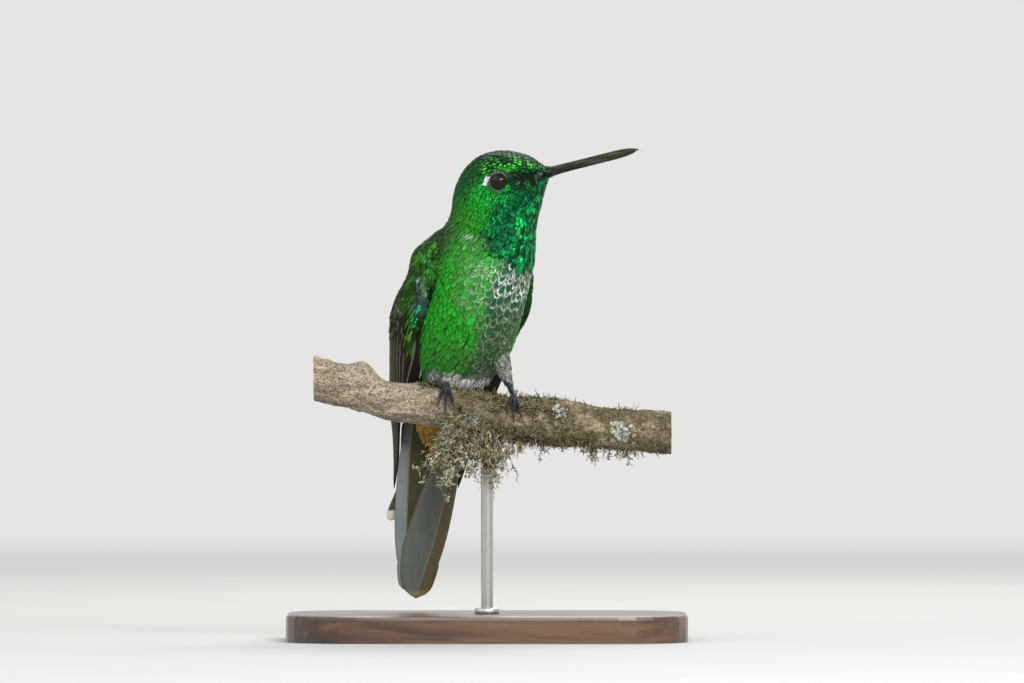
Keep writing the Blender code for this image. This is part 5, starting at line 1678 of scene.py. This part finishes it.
def build_tangles():
    """Ragged tangles hanging under the branch, and pale leafy lobes at the end of the longest."""
    pile, leafy = Pile(), []
    for x0, a0, hang, spread, drift, count, branches in TANGLES:
        root = perch(x0 + RNG.standard_normal(count) * spread, a0 + RNG.standard_normal(count) * 16, -0.1)
        direction = unit(np.array((drift, -0.10, -1.0)) + 0.16 * RNG.standard_normal((count, 3)))
        full = hang > 8 and drift
        length = hang * (0.45 + 0.55 * RNG.random(count) if full else 0.25 + 0.75 * RNG.random(count) ** 1.3)
        path = strands(pile, root, direction, length, 0.11 + 0.08 * RNG.random(count), 0.0, 0.45, 14)
        many = count * branches
        pick = RNG.integers(0, count, many)
        step = (1 + 14 * RNG.random(many) ** (0.65 if full else 1.0)).astype(int)
        direction = unit(RNG.standard_normal((many, 3)) + np.array((0, -0.2, -0.1)))
        size = 0.45 + 1.2 * RNG.random(many) ** 2
        path = strands(pile, path[pick, step], direction, size, 0.08 + 0.07 * RNG.random(many), 0.1, 0.9, 5)
        if full and x0 < -5:
            leafy.append(path[:, 2:].reshape(-1, 3))
        pick, step = RNG.integers(0, many, many * 2), RNG.integers(2, 6, many * 2)
        direction = unit(RNG.standard_normal((many * 2, 3)))
        size = 0.25 + 0.5 * RNG.random(many * 2)
        strands(pile, path[pick, step], direction, size, 0.06 + 0.05 * RNG.random(many * 2), 0.0, 0.9, 3)
    pile.build("hanging_lichen", moss_look("lichen", (0.070, 0.056, 0.028), (0.62, 0.56, 0.36)))
    pile = Pile()
    tangle = np.concatenate(leafy)
    clump = value_noise(tangle, 1.8, 21)
    low = np.interp(tangle[:, 2], (24, 27, 32, 34, 36, 38), (1, 1, 1, 0.35, 0.2, 0.0))
    chance = smooth(0.42, 0.58, clump) * low
    root = tangle[RNG.random(len(tangle)) < chance]
    root = root[RNG.permutation(len(root))[:760]]
    n = len(root)
    direction = unit(RNG.standard_normal((n, 3)) + np.array((0, -0.7, -0.3)))
    size = 0.35 + 0.60 * RNG.random(n)
    strands(pile, root, direction, size, 0.15 + 0.11 * RNG.random(n), 0.1, 0.7, 3)
    pile.build("lichen_lobes", moss_look("leafy_lichen", (0.30, 0.28, 0.18), (0.76, 0.74, 0.56)))


def build_rosettes():
    """Pale lichen in a few small rosettes on the bark."""
    pile = Pile()
    for x0, a0, spread, n in ((-3.1, 122, 0.75, 46), (24.6, 96, 1.6, 60), (13.5, 62, 0.9, 26)):
        p = x0 + spread * RNG.standard_normal(n) * 0.6
        q = a0 + spread * 14 * RNG.standard_normal(n) * 0.6
        size = 0.55 + 0.5 * RNG.random(n)
        points = drape(
            perch, p, q, 1.0, 0.068, size, size * 0.9, 2 * np.pi * RNG.random(n), 0.02,
            0.25 + 0.25 * RNG.random(n), thick=0.07, ragged=0.2, bow=-0.1,
        )
        pile.add(points, repeated(T_QUADS, n, len(T_U)))
    pile.build("lichen_rosettes", moss_look("pale_lichen", (0.26, 0.27, 0.20), (0.66, 0.69, 0.60)))


def wood_look():
    look = Look("stand_wood", 0.36)
    look.shader.inputs["Coat Weight"].default_value = 0.25
    look.shader.inputs["Coat Roughness"].default_value = 0.25
    grain = look.noise(55.0, 5.0, 0.6, stretch=(0.16, 1.6, 1.6), distortion=1.2)
    pore = look.noise(900.0, 3.0, 0.6, stretch=(0.05, 1, 1))
    colour = look.mix(look.map(grain, 0.38, 0.62), (0.050, 0.024, 0.012), (0.155, 0.080, 0.040))
    colour = look.mix(look.map(pore, 0.55, 0.70) * 0.5, colour, (0.020, 0.010, 0.006))
    return look.finish(colour, pore, 0.00005)


def steel_look():
    look = Look("stand_steel", 0.30, metallic=1.0)
    brushed = look.noise(1600.0, 3.0, 0.5, stretch=(1, 1, 0.02))
    return look.finish(look.mix(brushed, (0.42, 0.41, 0.39), (0.62, 0.61, 0.59)), brushed, 0.00002)


def dress_stand():
    """Looks of the base and the rod, and collars where the rod meets the base and the branch."""
    for node, look in (("stand_base", wood_look()), ("stand_rod", steel_look())):
        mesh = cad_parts[node].data
        mesh.materials.clear()
        mesh.materials.append(look)
    height, radius = perch_section(0.0)
    pile = Pile()
    for z0, tall, wide in ((5.0, 1.1, 2.3), (height - radius - 1.5, 1.6, 1.75)):
        s = np.array((0.0, 0.02, 0.15, 0.85, 0.98, 1.0))
        path = np.stack((np.zeros(6), np.full(6, PERCH_Y), z0 + tall * s), -1)
        add_tube(pile, path, wide * np.array((0.9, 0.93, 1.0, 1.0, 0.93, 0.9)), 40)
    pile.build("stand_collars", bpy.data.materials["stand_steel"])


# ---------------------------------------------------------------- stage


CAMERA_PLACE, LENS = (0.0046, -2.0, 0.0553), 380.0
WORLD_COLOUR, WORLD_STRENGTH = (0.97, 0.98, 1.0, 1.0), 0.56
BACKDROP_COLOUR, BACKDROP_STRENGTH = (0.985, 0.98, 0.965, 1.0), 0.80


def build_stage():
    """A plain pale floor that rises into an evenly lit pale backdrop far away on every side."""
    look = Look("floor", 0.75)
    look.finish(look.mix(look.map(look.noise(30.0, 3.0), 0.3, 0.7), (0.495, 0.49, 0.47), (0.505, 0.50, 0.48)))
    glow = look.node("Emission", BACKDROP_COLOUR, BACKDROP_STRENGTH)
    near, far = (Wire(look, node.outputs[0]) for node in (look.shader, glow))
    both = look.node("MixShader", look.value("far"), near, far)
    look.put(Wire(look, both.outputs[0]), look.tree.nodes["Material Output"].inputs["Surface"])
    radii = np.concatenate((np.linspace(0, 1400, 60)[1:], np.geomspace(1500, 6000, 10)))
    bend = np.radians(np.linspace(0, 90, 12)[1:])
    rise = np.concatenate((np.zeros(len(radii)), 1000 * (1 - np.cos(bend)), (2500.0,)))
    radii = np.concatenate((radii, 6000 + 1000 * np.sin(bend), (7000.0,)))
    n = 96
    turns = round_turns(n)
    ring = np.stack((np.cos(turns), np.sin(turns), turns * 0), -1)
    points = radii[:, None, None] * ring + rise[:, None, None] * UP
    points = np.concatenate((points.reshape(-1, 3), np.zeros((1, 3))))
    far = np.append(np.repeat(smooth(260, 1150, radii), n), 0.0)
    middle = np.stack((np.full(n, len(points) - 1), np.arange(n), (np.arange(n) + 1) % n), -1)
    faces = [grid_faces(len(radii), n, wrap=True)[:, ::-1], middle]
    made = new_mesh("floor", points, faces, look.material, floats={"far": far}, rides=False)


def area_light(name, place, target, size, energy, colour=(1, 1, 1)):
    data = bpy.data.lights.new(name, "AREA")
    data.shape, data.energy, data.color = "RECTANGLE", energy, colour
    data.size, data.size_y = size
    made = bpy.data.objects.new(name, data)
    made.location = place
    made.rotation_euler = (Vector(place) - Vector(target)).to_track_quat("Z", "Y").to_euler()
    bpy.context.scene.collection.objects.link(made)


def build_lights_and_camera():
    world = bpy.data.worlds.new("studio")
    bpy.context.scene.world = world
    world.use_nodes = True
    background = world.node_tree.nodes["Background"]
    background.inputs["Color"].default_value = WORLD_COLOUR
    background.inputs["Strength"].default_value = WORLD_STRENGTH
    area_light("key", (0.27, -0.62, 0.42), (0, 0, 0.07), (0.52, 0.24), 4.9, (0.93, 0.96, 1.0))
    area_light("fill", (-0.50, -0.40, 0.60), (0, 0, 0.06), (1.0, 0.8), 3.0)
    area_light("back", (0.15, 0.45, 0.55), (0, 0, 0.06), (0.5, 0.3), 3.5)
    data = bpy.data.cameras.new("camera")
    data.lens, data.sensor_width = LENS, 36.0
    data.clip_start, data.clip_end = 0.05, 20.0
    camera = bpy.data.objects.new("camera", data)
    camera.location = CAMERA_PLACE
    camera.rotation_euler = (math.pi / 2, 0.0, 0.0)
    bpy.context.scene.collection.objects.link(camera)
    bpy.context.scene.camera = camera
    bpy.context.scene.view_settings.view_transform = "Standard"


build_skin()
build_body_coat()
build_gape()
build_pale_marks()
build_bill_base()
build_vent_down()
build_thigh_coat()
build_tail_coverts()
for wing_side, wing_sign in (("left", 1), ("right", -1)):
    build_wing_arm(wing_side, wing_sign)
    build_wing_coverts(wing_side, wing_sign)
    build_wing_feathers(wing_side, wing_sign)
build_tail()
build_eyes()
build_bill()
build_feet()
build_perch()
build_moss()
build_tangles()
build_rosettes()
for wing_side, wing_sign in (("left", 1), ("right", -1)):
    build_wing_root(wing_side, wing_sign)
dress_stand()
build_stage()
build_lights_and_camera()
